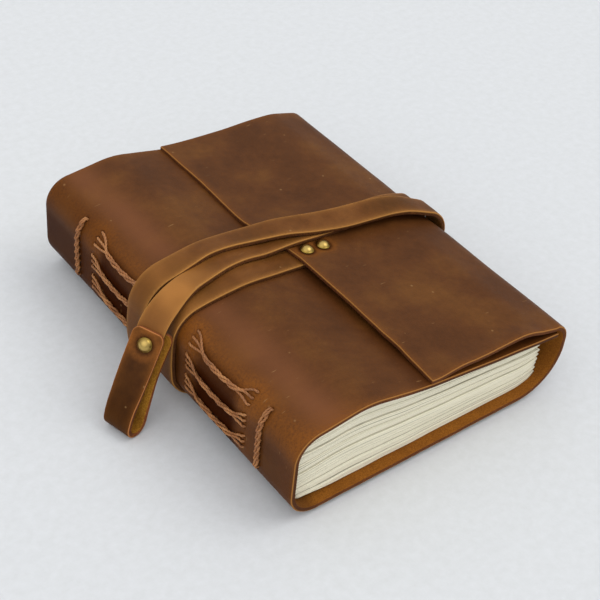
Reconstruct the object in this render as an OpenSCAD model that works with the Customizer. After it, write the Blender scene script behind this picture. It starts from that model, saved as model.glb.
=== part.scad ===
// Hand-bound leather journal with a fore-edge flap, closed by a long strap that is
// wound twice round the book and ends in a riveted pull tab.
// Construction frame: x runs from the spine to the fore-edge, y along the spine,
// z up from the underside of the cover. table() moves it to the part's own frame.

/* [Cover] */
// Length of the cover along the spine
cover_len = 180; // [150:1:230]
// Thickness of the cover leather
leather = 2; // [1.5:0.1:2.6]
// Height of the spine, up to where its outer faces would meet
spine_h = 40.3; // [34:0.1:48]
// Outer radius of the shoulder between spine and upper cover
shoulder_r = 12; // [8:0.5:14]
// Outer radius of the lower corner of the spine
heel_r = 13; // [8:0.5:15]
// Height of the crown of the upper cover, where its outer faces would meet
crown_h = 44.4; // [41:0.1:52]
// Distance of the crown from the spine
crown_x = 33; // [24:1:40]
// Height of the upper cover where it flattens out
slope_h = 38.3; // [34:0.1:41]
// Distance of that place from the spine
slope_x = 60; // [52:1:70]
// Distance of the upper cover's free edge from the spine
upper_edge_x = 133; // [126:0.5:134]
// Height of the upper cover's free edge
upper_edge_h = 30; // [29:0.1:32]

/* [Flap] */
// Distance of the fore-edge fold from the spine
fold_x = 138.8; // [138:0.1:146]
// Outer radius of the lower bend of the fold
fold_low_r = 21; // [12:0.5:22]
// Outer radius of the upper bend of the fold
fold_top_r = 9.5; // [6:0.5:11]
// Height of the fold's upper corner
fold_h = 32.6; // [32:0.1:35]
// Height of the flap where it leaves the fold
flap_h = 38; // [37.5:0.1:40]
// Distance of that place from the spine
flap_bend_x = 119; // [110:1:122]
// Distance of the flap's free edge from the spine at the near corner
flap_near_x = 62.6; // [60:0.1:72]
// Distance of the flap's free edge from the spine at the far corner
flap_far_x = 58.6; // [58:0.1:64]

/* [Pages] */
// Length of the pages along the spine
page_len = 170.4; // [140:0.1:176]
// Distance of the pages' fore-edge from the spine
page_edge_x = 129.6; // [120:0.1:131]
// Number of folded signatures
signatures = 9; // [7:1:11]
// Depth of the notches between signatures at the fore-edge
notch = 1.3; // [0.5:0.1:2]
// Depth of the grooves between signatures at the spine
groove = 1.8; // [0.8:0.1:2.2]
// Width of the gaps between signatures at the head and tail
gap_w = 0.3; // [0.2:0.05:0.5]
// Depth of those gaps
gap_deep = 0.8; // [0.4:0.1:2]

/* [Strap] */
// Width of the strap
strap_w = 11.5; // [9:0.5:13]
// Thickness of the strap leather
strap_t = 2; // [1.5:0.1:2.4]
// Distance of the strap's first leg from the middle of the spine
run_off = 8; // [4:0.5:12]
// Step along the spine from the first leg to its rivets
rivet_step = 3.6; // [2:0.1:5]
// Step from the first leg to the first pass over the fore-edge
over_step = 3.8; // [2:0.1:5]
// Step from the first leg to the first pass down the spine
back_step = 18; // [16:0.2:20]
// Step from the first leg to the last pass over the fore-edge
last_step = 13.4; // [12:0.1:14.5]
// Width of the pull tab
tab_w = 13; // [12:0.1:15]
// Length of the pull tab, from its top end to its fold, beyond the height of the spine
tab_spare = 3.5; // [2:0.5:8]
// Opening of the pull tab's loop at its widest place
tab_open = 5.4; // [4:0.1:6]
// Sideways step of the tab's back layer, because its fold isn't square
tab_skew = 2.2; // [0:0.1:3]

/* [Rivets] */
// Diameter of the domed rivet caps
cap_d = 6; // [5:0.1:7.5]
// Height of the dome
cap_h = 1.9; // [1.4:0.1:2.6]
// Diameter of the rivet's socket
socket_d = 2.6; // [2.2:0.1:3]
// Diameter of the rivet's post
post_d = 1.5; // [1.2:0.1:1.6]
// Thickness of the rivet's back plate, which is also how deep it is pressed in
plate_t = 0.6; // [0.4:0.05:0.8]
// Distance of the first flap rivet from the spine
rivet_x = 69; // [67.5:0.5:72]
// Spacing of the two flap rivets
rivet_gap = 8.4; // [7.6:0.1:10]

/* [Stitching] */
// Diameter of the long-stitch thread
thread_d = 0.9; // [0.7:0.05:1.1]
// Diameter of the chain-stitch thread
chain_d = 0.7; // [0.5:0.05:0.8]
// Length of one full turn of the twisted threads
twist_pitch = 17; // [12:0.5:24]
// Length over which the threads part at the near end of a bundle
fan_near = 7; // [5:0.5:10]
// Length over which the threads part at the far end of a bundle
fan_far = 12.5; // [8:0.5:14]
// How far the middle of a bundle hangs below its holes
rope_sag = 2.6; // [1:0.1:3.5]
// Height of the lowest bundle above the lower cover
bundle_low = 16; // [14.5:0.1:17]
// Spacing of the bundles up the spine
bundle_gap = 11; // [10:0.1:11.5]
// Spacing of the three holes of a bundle
hole_gap = 3; // [2.5:0.1:3.3]
// Distance of the near group of bundles from the near end
near_margin = 30.5; // [27:0.5:34]
// Length of the near group of bundles
near_run = 39; // [34:0.5:40]
// Distance of the far group of bundles from the far end
far_margin = 39.5; // [35:0.5:44]
// Length of the far group of bundles
far_run = 43; // [37:0.5:46]
// Distance of the near chain row from the near end
chain_near = 21; // [14:0.5:23]
// Distance of the far chain row from the far end
chain_far = 28; // [20:0.5:30]
// Height of the lowest chain hole
chain_low = 11.4; // [9:0.1:14]
// Height of the highest chain hole, measured round the shoulder
chain_top = 40.2; // [37:0.1:44]

/* [Hidden] */

// Clearance between pieces that rest on each other
seat = 0.2;
// Clearance of a rivet in its hole, of a post in its socket and of a thread in its hole
slip = 0.05;
// Points along each bend of the leather
bend_n = 7;
// The book lies on the strap, so its underside is this far above the table
lift = strap_t + seat;

// Plain vector helpers
function unit(v) = v / norm(v);
function turn(t) = [t[1], -t[0]];
function mix(a, b, f) = a + (b - a) * f;
function smooth(f) = let (c = max(0, min(1, f))) c * c * (3 - 2 * c);

// Points round one corner, each with the outward normal of the path
function corner(a, b, c, r, n) =
    let (u = unit(a - b), v = unit(c - b), half = acos(u * v) / 2,
        t0 = b + u * r / tan(half), centre = b + unit(u + v) * r / sin(half),
        side = cross(u, v) > 0 ? -1 : 1, from = t0 - centre)
    [for (i = [0:n])
        let (g = side * (180 - 2 * half) * i / n,
            p = [from[0] * cos(g) - from[1] * sin(g), from[0] * sin(g) + from[1] * cos(g)],
            t = side * [-p[1], p[0]] / r)
        [centre + p, turn(t)]];

// A path through corner places with rounded corners
function rounded(places, radii, n) =
    let (last = len(places) - 1)
    concat([[places[0], turn(unit(places[1] - places[0]))]],
        [for (i = [1:last - 1])
            each corner(places[i - 1], places[i], places[i + 1], radii[i], n)],
        [[places[last], turn(unit(places[last] - places[last - 1]))]]);

function moved(path, d) = [for (q = path) q[0] + d * q[1]];

// Height of a path at a given x, along a stretch that runs towards the spine
function height_at(points, x) =
    let (hit = [for (i = [0:len(points) - 2])
        if (points[i][0] >= x && points[i + 1][0] < x) i],
        p = points[hit[0]], q = points[hit[0] + 1])
    mix(p[1], q[1], (p[0] - x) / (p[0] - q[0]));

// The outer face of the cover in section, from the upper cover's free edge round the
// spine, the underside and the fore-edge fold to the free edge of the flap. The flap
// stands off the upper cover by the strap that is riveted under it.
flap_end_h = slope_h + leather + strap_t + 2 * seat + 0.35;
flap_mid_x = slope_x + 32;
flap_mid_h = flap_h + 0.55 + 0.3 * strap_t;
flap_end_x = min(flap_near_x, flap_far_x);
section_places = [[upper_edge_x, upper_edge_h], [slope_x, slope_h], [crown_x, crown_h],
    [0, spine_h], [0, 0], [fold_x, 0], [fold_x, fold_h], [flap_bend_x, flap_h],
    [flap_mid_x, flap_mid_h], [flap_end_x, flap_end_h]];
section_radii = [0, 150, 40, shoulder_r, heel_r, fold_low_r, fold_top_r, 30, 120, 0];
outer = rounded(section_places, section_radii, bend_n);
outer_face = moved(outer, 0);

// Where the crown, the shoulder, the heel and the two bends of the fold start in that path
crown_n = 1 + (bend_n + 1);
shoulder_n = crown_n + bend_n + 1;
heel_n = shoulder_n + bend_n + 1;
fold_n = heel_n + bend_n + 1;
top_n = fold_n + bend_n + 1;
flap_n = top_n + bend_n + 1;
upper_face = [for (i = [0:heel_n - 1]) outer_face[i]];
flap_face = [for (i = [flap_n - 1:len(outer_face) - 1]) outer_face[i]];
function cover_top(x) = height_at(upper_face, x);
function flap_top(x) = height_at(flap_face, x);
flap_slope = atan((flap_end_h - flap_mid_h) / (flap_mid_x - flap_end_x));

// A place on the spine: its height is measured round the shoulder and the heel, and its
// distance is measured out from the leather
shoulder_turn = 90 - atan((crown_h - spine_h) / crown_x);
shoulder_z = spine_h - shoulder_r * tan(shoulder_turn / 2);
function spine_out(h) =
    h < heel_r ? let (g = (heel_r - h) / heel_r * 180 / PI) [-cos(g), 0, -sin(g)]
    : h < shoulder_z ? [-1, 0, 0]
    : let (g = (h - shoulder_z) / shoulder_r * 180 / PI) [-cos(g), 0, sin(g)];
function on_spine(y, h, out) =
    h < heel_r ? [heel_r, y, heel_r] + (heel_r + out) * spine_out(h)
    : h < shoulder_z ? [-out, y, h]
    : [shoulder_r, y, shoulder_z] + (shoulder_r + out) * spine_out(h);

// The strap's route, as the middle of the leather: x, y, z and the tilt across it
half_t = strap_t / 2;
hug = seat + half_t;
pile = strap_t + seat;
run_y = cover_len / 2 - run_off;
rivet_y = run_y + rivet_step;
over_y = run_y + over_step;
back_y = run_y + back_step;
last_y = run_y + last_step;
over_thread = 2.4 * thread_d;
strap_end_x = rivet_x + rivet_gap + cap_d / 2 + 3;

// Where the strap follows the cover, its distance and y go evenly from one to another
function around(from, to, d0, d1, y0, y1) =
    [for (i = [from:to]) let (f = (i - from) / (to - from), q = outer[i][0] + mix(d0, d1, f) * outer[i][1])
        [q[0], mix(y0, y1, f), q[1], 0]];
function on_cover(x, y, up, tilt) = [x, y, cover_top(x) + hug + up, tilt];
function on_flap(x, y, up, tilt) = [x, y, flap_top(x) + hug + up, tilt];
function under(x, y) = [x, y, -hug, 0];
heel_x = heel_r + 2;
turn_x = fold_x - fold_low_r - 2;

// First leg: from under the flap over the upper cover and down the spine
first_leg = concat(
    [for (x = [strap_end_x, rivet_x + rivet_gap, rivet_x, slope_x + 3]) on_cover(x, rivet_y, 0, 0)],
    [on_cover(slope_x - 9, run_y + 2, 0, 0), on_cover(crown_x + 8, run_y + 0.8, 0, 0)],
    around(crown_n, fold_n - 1, hug, hug, run_y + 0.4, run_y));

// First pass: under the book, up the fore-edge and over the flap. It stands off the fold
// and the flap, because it lies over the last pass
first_pass = concat([under(heel_x, run_y), under(turn_x, over_y - 1)],
    around(fold_n, fold_n + bend_n, hug, hug + pile, over_y - 1, over_y - 0.6),
    around(top_n, top_n + bend_n, hug + pile, hug + pile + 0.3, over_y - 0.4, over_y + 0.4), [
    on_flap(flap_bend_x + 9, over_y + 1.4, pile + 1.2, -2),
    on_flap(flap_bend_x + 4, over_y + 2.4, pile + 1.8, -4),
    on_flap(flap_bend_x - 3, over_y + 3.4, pile + 2.1, -6),
    on_flap(flap_bend_x - 15, over_y + 5, pile + 2, -9),
    on_flap(flap_mid_x, over_y + 6.6, pile + 1.6, -10),
    on_flap(slope_x + 16, over_y + 9.2, pile + 1.1, -6),
    on_flap(slope_x + 3, over_y + 12, pile + 1, 1),
    on_cover(slope_x - 9, over_y + 14.6, pile + 2.6, 7),
    on_cover(crown_x + 5, over_y + 16.2, pile / 2 + 1.2, 11),
    on_cover(crown_x - 5, over_y + 16.6, pile / 2 + 0.9, 11),
    on_cover(shoulder_r + 8, over_y + 16.4, over_thread, 6)],
    around(shoulder_n, heel_n - 1, hug + over_thread, hug + over_thread, over_y + 15.6, back_y + 0.4),
    around(heel_n, fold_n - 1, hug + over_thread, hug, back_y, back_y - 0.2));

// Last pass: under the book again and over the flap, then off the shoulder to the tab
last_pass = concat([under(heel_x, back_y - 0.2), under(turn_x, last_y + 1.8)],
    around(fold_n, fold_n + bend_n, hug, hug, last_y + 1.8, last_y + 1.8),
    around(top_n, top_n + bend_n, hug, hug, last_y + 1, last_y), [
    on_flap(flap_bend_x + 4, last_y, 0.6, 0),
    on_flap(flap_bend_x - 9, last_y, 0.35, 0),
    on_flap(flap_mid_x, last_y - 0.2, 0, 0),
    on_flap(slope_x + 16, last_y - 0.6, 0, 0),
    on_flap(slope_x + 3, last_y - 1.1, 0.3, 0),
    on_cover(slope_x - 9, last_y - 1.8, pile + 0.4, 4),
    on_cover(crown_x + 5, last_y - 2.2, pile / 2 + 0.6, 9),
    on_cover(crown_x - 5, last_y - 3.6, pile / 2 + 0.4, 11),
    on_cover(shoulder_r + 8, last_y - 5.8, pile / 2 + 0.8, 11),
    [shoulder_r, last_y - 7.2, spine_h + 5.8, 7],
    [shoulder_r - 7, last_y - 9.4, spine_h + 4.6, -4]]);

// The tab hangs from the shoulder down to the table. Its frame: the place on its front
// face over the rivet, and the place where its fold meets the table
tab_rivet = [-13.5, run_y - 3.8, spine_h - 6.3];
tab_above = 6.3;
// The tab reaches from the rivet down to the table
tab_len = spine_h + tab_spare;
tab_drop = tab_rivet[2] + lift - 0.7 * (tab_open / 2 + strap_t);
tab_yaw = 13.3;
tab_reach = sqrt(pow(tab_len - tab_above, 2) - pow(tab_drop, 2));
tab_run = unit([-tab_reach * cos(tab_yaw), -tab_reach * sin(tab_yaw), -tab_drop]);
tab_tilt_top = -32;
tab_tilt_foot = -14.5;

// Direction across a ribbon and the normal of its face, from its run and its tilt
function across(t, tilt) =
    let (up = unit([t[2], 0, -t[0]]), flat = cross(up, t)) flat * cos(tilt) + up * sin(tilt);
function facing(t, tilt) =
    let (up = unit([t[2], 0, -t[0]]), flat = cross(up, t)) up * cos(tilt) - flat * sin(tilt);
tab_side = across(tab_run, tab_tilt_top);
tab_face = facing(tab_run, tab_tilt_top);
function tab_at(s, deep) = tab_rivet + tab_run * (s - tab_above) - tab_face * deep;

strap_deep = strap_t + seat + half_t;
tail = [for (s = [-1.2, tab_above, 2 * tab_above - 0.3]) concat(tab_at(s, strap_deep), [tab_tilt_top])];
tail_lead = [[shoulder_r - 13, last_y - 11.8, spine_h + 3.1, -14],
    [shoulder_r - 17.2, last_y - 13.7, spine_h + 1, -24]];
route = concat(first_leg, first_pass, last_pass, tail_lead, tail);

function stations(route, w) =
    [for (i = [0:len(route) - 1])
        let (p = route[i], b = route[max(0, i - 1)], a = route[min(len(route) - 1, i + 1)],
            t = unit([a[0] - b[0], a[1] - b[1], a[2] - b[2]]))
        [[p[0], p[1], p[2]], across(t, p[3]), facing(t, p[3]), w]];

// A ribbon of leather: each station has its middle, the direction across it, the
// normal of its face, and its width
module ribbon(stations, t) {
    n = len(stations);
    points = [for (s = stations) each [
        s[0] - s[1] * s[3] / 2 - s[2] * t / 2, s[0] + s[1] * s[3] / 2 - s[2] * t / 2,
        s[0] + s[1] * s[3] / 2 + s[2] * t / 2, s[0] - s[1] * s[3] / 2 + s[2] * t / 2]];
    walls = [for (i = [0:n - 2], k = [0:3])
        let (a = 4 * i + k, b = 4 * i + (k + 1) % 4) each [[a, a + 4, b], [b, a + 4, b + 4]]];
    polyhedron(points, concat([[0, 1, 2], [0, 2, 3]], walls,
        [[4 * n - 4, 4 * n - 2, 4 * n - 3], [4 * n - 4, 4 * n - 1, 4 * n - 2]]), convexity = 10);
}

// The pull tab: a short strap folded in half. Its layers hold the strap's end at the
// top, and part towards the fold at the foot
tab_stack = 2 * strap_t + strap_t + 2 * seat;
tab_grip = tab_above * 2 + 0.6;
tab_corner_r = 3;
function tab_gap(s) = tab_stack - strap_t
    + (tab_open + strap_t - (tab_stack - strap_t)) * smooth((s - tab_grip) / (tab_len - tab_grip));
loop_r = (tab_open + strap_t) / 2;
loop_s = tab_len - loop_r - half_t;
layer_s = [0.2, 1, tab_corner_r, tab_above, tab_grip, 18, 23, 28, 33];
function tab_width(s) = s >= tab_corner_r ? tab_w
    : tab_w - 2 * (tab_corner_r - sqrt(pow(tab_corner_r, 2) - pow(tab_corner_r - s, 2)));
tab_path = concat(
    [for (s = layer_s) [s, half_t, 0, tab_width(s)]],
    [for (g = [-90:22.5:90])
        [loop_s + loop_r * cos(g), half_t + loop_r + loop_r * sin(g), 0.3 + 0.35 * (g + 90) / 180, tab_w]],
    [for (i = [len(layer_s) - 1:-1:0]) let (s = layer_s[i])
        [s, half_t + tab_gap(s), 1 - 0.35 * s / loop_s, tab_width(s)]]);
function tab_twist(s) = mix(tab_tilt_top, tab_tilt_foot, smooth((s - tab_grip) / (loop_s - tab_grip)));
tab_stations = [for (i = [0:len(tab_path) - 1])
    let (q = tab_path[i], b = tab_path[max(0, i - 1)], a = tab_path[min(len(tab_path) - 1, i + 1)],
        twist = tab_twist(q[0]), side = across(tab_run, twist), face = facing(tab_run, twist),
        t = unit([a[0] - b[0], a[1] - b[1]]))
    [tab_rivet + tab_run * (q[0] - tab_above) - face * q[1] + side * tab_skew * (i < len(layer_s) ? 0 : q[2]),
        side, t[0] * face + t[1] * tab_run, q[3]]];

// The riveted places: the origin on the outer face of the leather, z out of it
module on_flap_face(x) {
    translate([x, rivet_y, flap_top(x)]) rotate([0, flap_slope, 0]) children();
}
module on_tab_face() {
    n = tab_face;
    s = tab_side;
    t = cross(n, s);
    multmatrix([[s[0], t[0], n[0], tab_rivet[0]], [s[1], t[1], n[1], tab_rivet[1]],
        [s[2], t[2], n[2], tab_rivet[2]], [0, 0, 0, 1]]) children();
}
flap_stack = leather + strap_t + 2 * seat - 0.2;
dimple = 0.5;

// Cap of a rivet: a dome with a socket that goes through the leather
module rivet_cap(stack) {
    dome_r = (pow(cap_d / 2, 2) + pow(cap_h, 2)) / (2 * cap_h);
    difference() {
        union() {
            translate([0, 0, -dimple]) intersection() {
                translate([0, 0, cap_h - dome_r]) sphere(r = dome_r, $fn = 48);
                cylinder(d = cap_d, h = cap_h + 1, $fn = 48);
            }
            translate([0, 0, -stack + plate_t + slip]) cylinder(d = socket_d, h = stack - plate_t, $fn = 32);
        }
        translate([0, 0, -stack - 1]) cylinder(d = post_d + 2 * slip, h = stack + 1, $fn = 24);
    }
}

// Post of a rivet: a thin plate pressed into the back, with a pin up the cap's socket
module rivet_post(stack) {
    translate([0, 0, -stack]) cylinder(d = cap_d, h = plate_t, $fn = 48);
    translate([0, 0, -stack]) cylinder(d = post_d, h = stack - 0.3, $fn = 24);
}

// A round thread swept along its points
module thread(points, d, sides) {
    n = len(points);
    rings = [for (i = [0:n - 1])
        let (t = unit(points[min(n - 1, i + 1)] - points[max(0, i - 1)]),
            u = unit(cross(t, [0.15, 0.25, 1])), v = cross(t, u))
        for (k = [0:sides - 1])
            points[i] + d / 2 * (u * cos(360 * k / sides) + v * sin(360 * k / sides))];
    walls = [for (i = [0:n - 2], k = [0:sides - 1])
        let (a = i * sides + k, b = i * sides + (k + 1) % sides)
        each [[a, a + sides, b], [b, a + sides, b + sides]]];
    polyhedron(rings, concat([[for (k = [0:sides - 1]) k]], walls,
        [[for (k = [sides - 1:-1:0]) (n - 1) * sides + k]]), convexity = 10);
}

// Long stitches: three threads leave three holes, are twisted into one rope along the
// spine, and part again to three holes
thread_sides = 6;
twist_r = thread_d * 0.62;
rope_out = twist_r + thread_d / 2 + 0.1;
rest_out = thread_d / 2 + 0.08;
hole_d = thread_d + 0.25;
bundle_h = [for (i = [0:2]) bundle_low + i * bundle_gap];
near_from = near_margin;
near_to = near_margin + near_run;
far_to = cover_len - far_margin;
far_from = far_to - far_run;
function hole_h(bundle, k) = bundle_h[bundle] + (k - 1) * hole_gap;
function strand(bundle, k, from, to) =
    let (h0 = hole_h(bundle, k), mid = bundle_h[bundle], span = to - from)
    concat([for (out = [0.1 - leather, -0.1]) on_spine(from, h0, out)],
        [for (y = concat([0.6, 3.5, 7], [for (i = [0:8]) mix(fan_near + 2, span - fan_far, i / 8)],
                [span - 7, span - 3.5, span - 0.6]))
            let (grip = smooth(min(y / fan_near, (span - y) / fan_far)),
                g = 360 * (y - fan_near) / twist_pitch + 120 * (1 - k),
                edge = min(1, min(y, span - y) / 3))
            on_spine(from + y, mix(h0, mid - rope_sag * sin(180 * y / span) - twist_r * sin(g), grip),
                mix(rest_out, rope_out + twist_r * cos(g), grip * edge))],
        [for (out = [-0.1, 0.1 - leather]) on_spine(to, h0, out)]);
module bundle(i, from, to) {
    color("sienna") table() for (k = [0:2]) thread(strand(i, k, from, to), thread_d, thread_sides);
}

// Chain stitch: each loop comes out of one hole and is caught round the legs of the next
chain_sides = 5;
chain_n = signatures - 1;
chain_step = (chain_top - chain_low) / chain_n;
leg_y = chain_d * 0.6;
loop_y = chain_d * 1.75;
chain_hole_d = 2 * leg_y + chain_d + 0.2;
low_out = chain_d / 2 + 0.08;
high_out = chain_d * 1.5 + 0.2;
function leg(last) = concat(
    [[leg_y, 0, 0.1 - leather], [leg_y, 0, -0.1], [leg_y, 0.15, high_out * 0.6],
        [leg_y * 1.1, chain_d * 1.3, high_out]],
    last ? [[leg_y * 1.1, chain_step * 0.7, low_out * 1.6], [leg_y, chain_step - 0.15, low_out],
        [leg_y, chain_step, -0.1], [leg_y, chain_step, 0.1 - leather]]
    : [[mix(leg_y, loop_y, 0.6), chain_step * 0.6, mix(low_out, high_out, 0.4)],
        [loop_y, chain_step * 0.85, low_out], [loop_y, chain_step + chain_d * 0.4, low_out],
        [loop_y * 0.62, chain_step + chain_d * 1.35, low_out]]);
function link_points(y, h, last) =
    let (legs = leg(last), n = len(legs))
    concat([for (q = legs) on_spine(y + q[0], h + q[1], q[2])],
        last ? [] : [on_spine(y, h + chain_step + chain_d * 1.6, low_out)],
        last ? [] : [for (i = [n - 1:-1:0]) on_spine(y - legs[i][0], h + legs[i][1], legs[i][2])]);
module chain(y) {
    color("sienna") table() for (i = [0:chain_n - 1]) {
        h = chain_low + i * chain_step;
        last = i == chain_n - 1;
        thread(link_points(y, h, last), chain_d, chain_sides);
        if (last) mirror_y(y) thread(link_points(y, h, last), chain_d, chain_sides);
    }
}
module mirror_y(y) {
    translate([0, 2 * y, 0]) mirror([0, 1, 0]) children();
}

// The part's own frame: the origin is on the table, below the middle of its outline
tab_spread = [for (s = tab_stations, e = [-1, 1], f = [-1, 1])
    (s[0] + s[1] * e * s[3] / 2 + s[2] * f * half_t)[0]];
strap_spread = [for (s = stations(route, strap_w)) s[0][0] + abs(s[2][0]) * half_t];
module table() {
    translate([-(min(tab_spread) + max(strap_spread)) / 2, -cover_len / 2, lift]) children();
}

// Extrudes an x-z outline along the spine
module along_spine(y0, y1) {
    translate([0, y0, 0]) rotate([90, 0, 0]) mirror([0, 0, 1]) linear_extrude(y1 - y0) children();
}

// One hole through the spine leather
module spine_hole(y, h, d) {
    p = on_spine(y, h, 0);
    n = spine_out(h);
    translate(p) rotate([0, atan2(n[0], n[2]), 0]) cylinder(d = d, h = 3 * leather, center = true, $fn = 16);
}

module cover() {
    color("saddlebrown") table() difference() {
        along_spine(0, cover_len) polygon(concat(outer_face,
            [for (i = [len(outer) - 1:-1:0]) outer[i][0] - leather * outer[i][1]]));
        // The flap's free edge is cut at a slight slant
        translate([0, 0, flap_end_h - leather - strap_t / 2]) linear_extrude(leather + strap_t)
            polygon([[flap_end_x - 1, -1], [flap_near_x, -1], [flap_near_x, 0],
                [flap_far_x, cover_len], [flap_far_x, cover_len + 1], [flap_end_x - 1, cover_len + 1]]);
        for (x = [rivet_x, rivet_x + rivet_gap]) on_flap_face(x) {
            cylinder(d = socket_d + 2 * slip, h = 3 * leather, center = true, $fn = 32);
            translate([0, 0, -dimple]) cylinder(d = cap_d + 0.5, h = 3, $fn = 48);
        }
        for (b = [0:2], k = [0:2], y = [near_from, near_to, far_from, far_to])
            spine_hole(y, hole_h(b, k), hole_d);
        for (y = [chain_near, cover_len - chain_far], i = [0:chain_n])
            spine_hole(y, chain_low + i * chain_step, chain_hole_d);
    }
}

// The pages in section: flat on the lower cover, a fold for each signature at the spine,
// and a point for each at the fore-edge
inner_face = moved(outer, -leather - seat);
page_low = leather;
function path_len(p, i) = i == 0 ? 0 : path_len(p, i - 1) + norm(p[i] - p[i - 1]);
function place_on(p, lens, s) =
    let (i = min(len(p) - 2, max(concat([0], [for (j = [0:len(p) - 1]) if (lens[j] <= s) j]))),
        t = unit(p[i + 1] - p[i]))
    [p[i] + t * (s - lens[i]), turn(t)];
spine_face = [for (i = [shoulder_n + 2:heel_n + bend_n - 2]) inner_face[i]];
spine_lens = [for (i = [0:len(spine_face) - 1]) path_len(spine_face, i)];
spine_len = spine_lens[len(spine_lens) - 1];
fold_steps = 8;
page_top = [for (i = [0:shoulder_n + 1]) if (inner_face[i][0] < page_edge_x - 2) inner_face[i]];
page_edge_h = height_at(inner_face, page_edge_x - notch);
page_turn_x = fold_x - fold_low_r;
function page_bottom(x) = let (r = fold_low_r - leather - seat - 0.1, over = max(0, x - page_turn_x))
    over == 0 ? page_low : fold_low_r - sqrt(pow(r, 2) - pow(over, 2));
function fold_back(k) =
    [for (j = [0:fold_steps - (k == signatures - 1 ? 0 : 1)])
        let (f = j / fold_steps, q = place_on(spine_face, spine_lens, spine_len * (k + f) / signatures),
            deep = groove * (1 - sqrt(max(0, 1 - pow(2 * f - 1, 2)))))
        q[0] - q[1] * deep];
module page_outline() {
    low = page_bottom(page_edge_x);
    step = (page_edge_h - low) / signatures;
    polygon(concat(
        [for (k = [0:signatures - 1]) each [
            if (k > 0) [page_edge_x - notch, low + k * step],
            [page_edge_x - notch * 0.25, low + (k + 0.28) * step],
            [page_edge_x, low + (k + 0.5) * step],
            [page_edge_x - notch * 0.25, low + (k + 0.72) * step]]],
        [[page_edge_x - notch, page_edge_h]], page_top,
        [for (k = [0:signatures - 1]) each fold_back(k)],
        [for (x = [heel_r, page_turn_x - 1, page_turn_x + 1, page_turn_x + 4, page_turn_x + 7,
            page_edge_x - notch]) [x, page_bottom(x)]]));
}

module page_block() {
    inset = (cover_len - page_len) / 2;
    color("cornsilk") table() difference() {
        along_spine(inset, cover_len - inset) page_outline();
        for (k = [1:signatures - 1], y = [inset - 1, cover_len - inset - gap_deep])
            along_spine(y, y + 1 + gap_deep) signature_gap(k);
    }
}

// The gap between two signatures, as it shows at the head and tail
module signature_gap(k) {
    share = k / signatures;
    root = place_on(spine_face, spine_lens, spine_len * (1 - share));
    places = concat([root[0] - root[1] * groove * 0.6],
        [for (x = [20, 32, 48, 68, 92, page_edge_x - notch - 1, page_edge_x + 1])
            let (u = min(x, page_edge_x - notch)) [x, mix(page_bottom(u), height_at(inner_face, u), share)]]);
    polygon(concat([for (p = places) p - [0, gap_w / 2]],
        [for (i = [len(places) - 1:-1:0]) places[i] + [0, gap_w / 2]]));
}

module strap() {
    color("peru") table() difference() {
        ribbon(stations(route, strap_w), strap_t);
        for (x = [rivet_x, rivet_x + rivet_gap]) on_flap_face(x) {
            cylinder(d = socket_d + 2 * slip, h = 20, center = true, $fn = 24);
            translate([0, 0, -flap_stack - 1]) cylinder(d = cap_d + 0.4, h = 1 + plate_t, $fn = 32);
        }
        on_tab_face() cylinder(d = socket_d + 2 * slip, h = 20, center = true, $fn = 24);
    }
}

module pull_tab() {
    color("sienna") table() difference() {
        ribbon(tab_stations, strap_t);
        on_tab_face() {
            cylinder(d = socket_d + 2 * slip, h = 3 * tab_stack, center = true, $fn = 32);
            translate([0, 0, -dimple]) cylinder(d = cap_d + 0.5, h = 3, $fn = 48);
            translate([0, 0, -tab_stack - 1]) cylinder(d = cap_d + 0.4, h = 1 + plate_t, $fn = 32);
        }
    }
}

module flap_rivet_cap(i) {
    color("darkkhaki") table() on_flap_face(rivet_x + i * rivet_gap) rivet_cap(flap_stack);
}
module flap_rivet_post(i) {
    color("darkkhaki") table() on_flap_face(rivet_x + i * rivet_gap) rivet_post(flap_stack);
}
module tab_rivet_cap() {
    color("darkkhaki") table() on_tab_face() rivet_cap(tab_stack);
}
module tab_rivet_post() {
    color("darkkhaki") table() on_tab_face() rivet_post(tab_stack);
}

cover();
page_block();
strap();
pull_tab();
flap_rivet_cap(0);  // flap_rivet_cap_1
flap_rivet_post(0);  // flap_rivet_post_1
flap_rivet_cap(1);  // flap_rivet_cap_2
flap_rivet_post(1);  // flap_rivet_post_2
tab_rivet_cap();
tab_rivet_post();
bundle(2, near_from, near_to);  // near_stitch_top
bundle(1, near_from, near_to);  // near_stitch_middle
bundle(0, near_from, near_to);  // near_stitch_bottom
bundle(2, far_from, far_to);  // far_stitch_top
bundle(1, far_from, far_to);  // far_stitch_middle
bundle(0, far_from, far_to);  // far_stitch_bottom
chain(chain_near);  // chain_stitch_near
chain(cover_len - chain_far);  // chain_stitch_far
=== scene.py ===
import math
import random

import bpy
from mathutils import Matrix, Vector, noise


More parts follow.
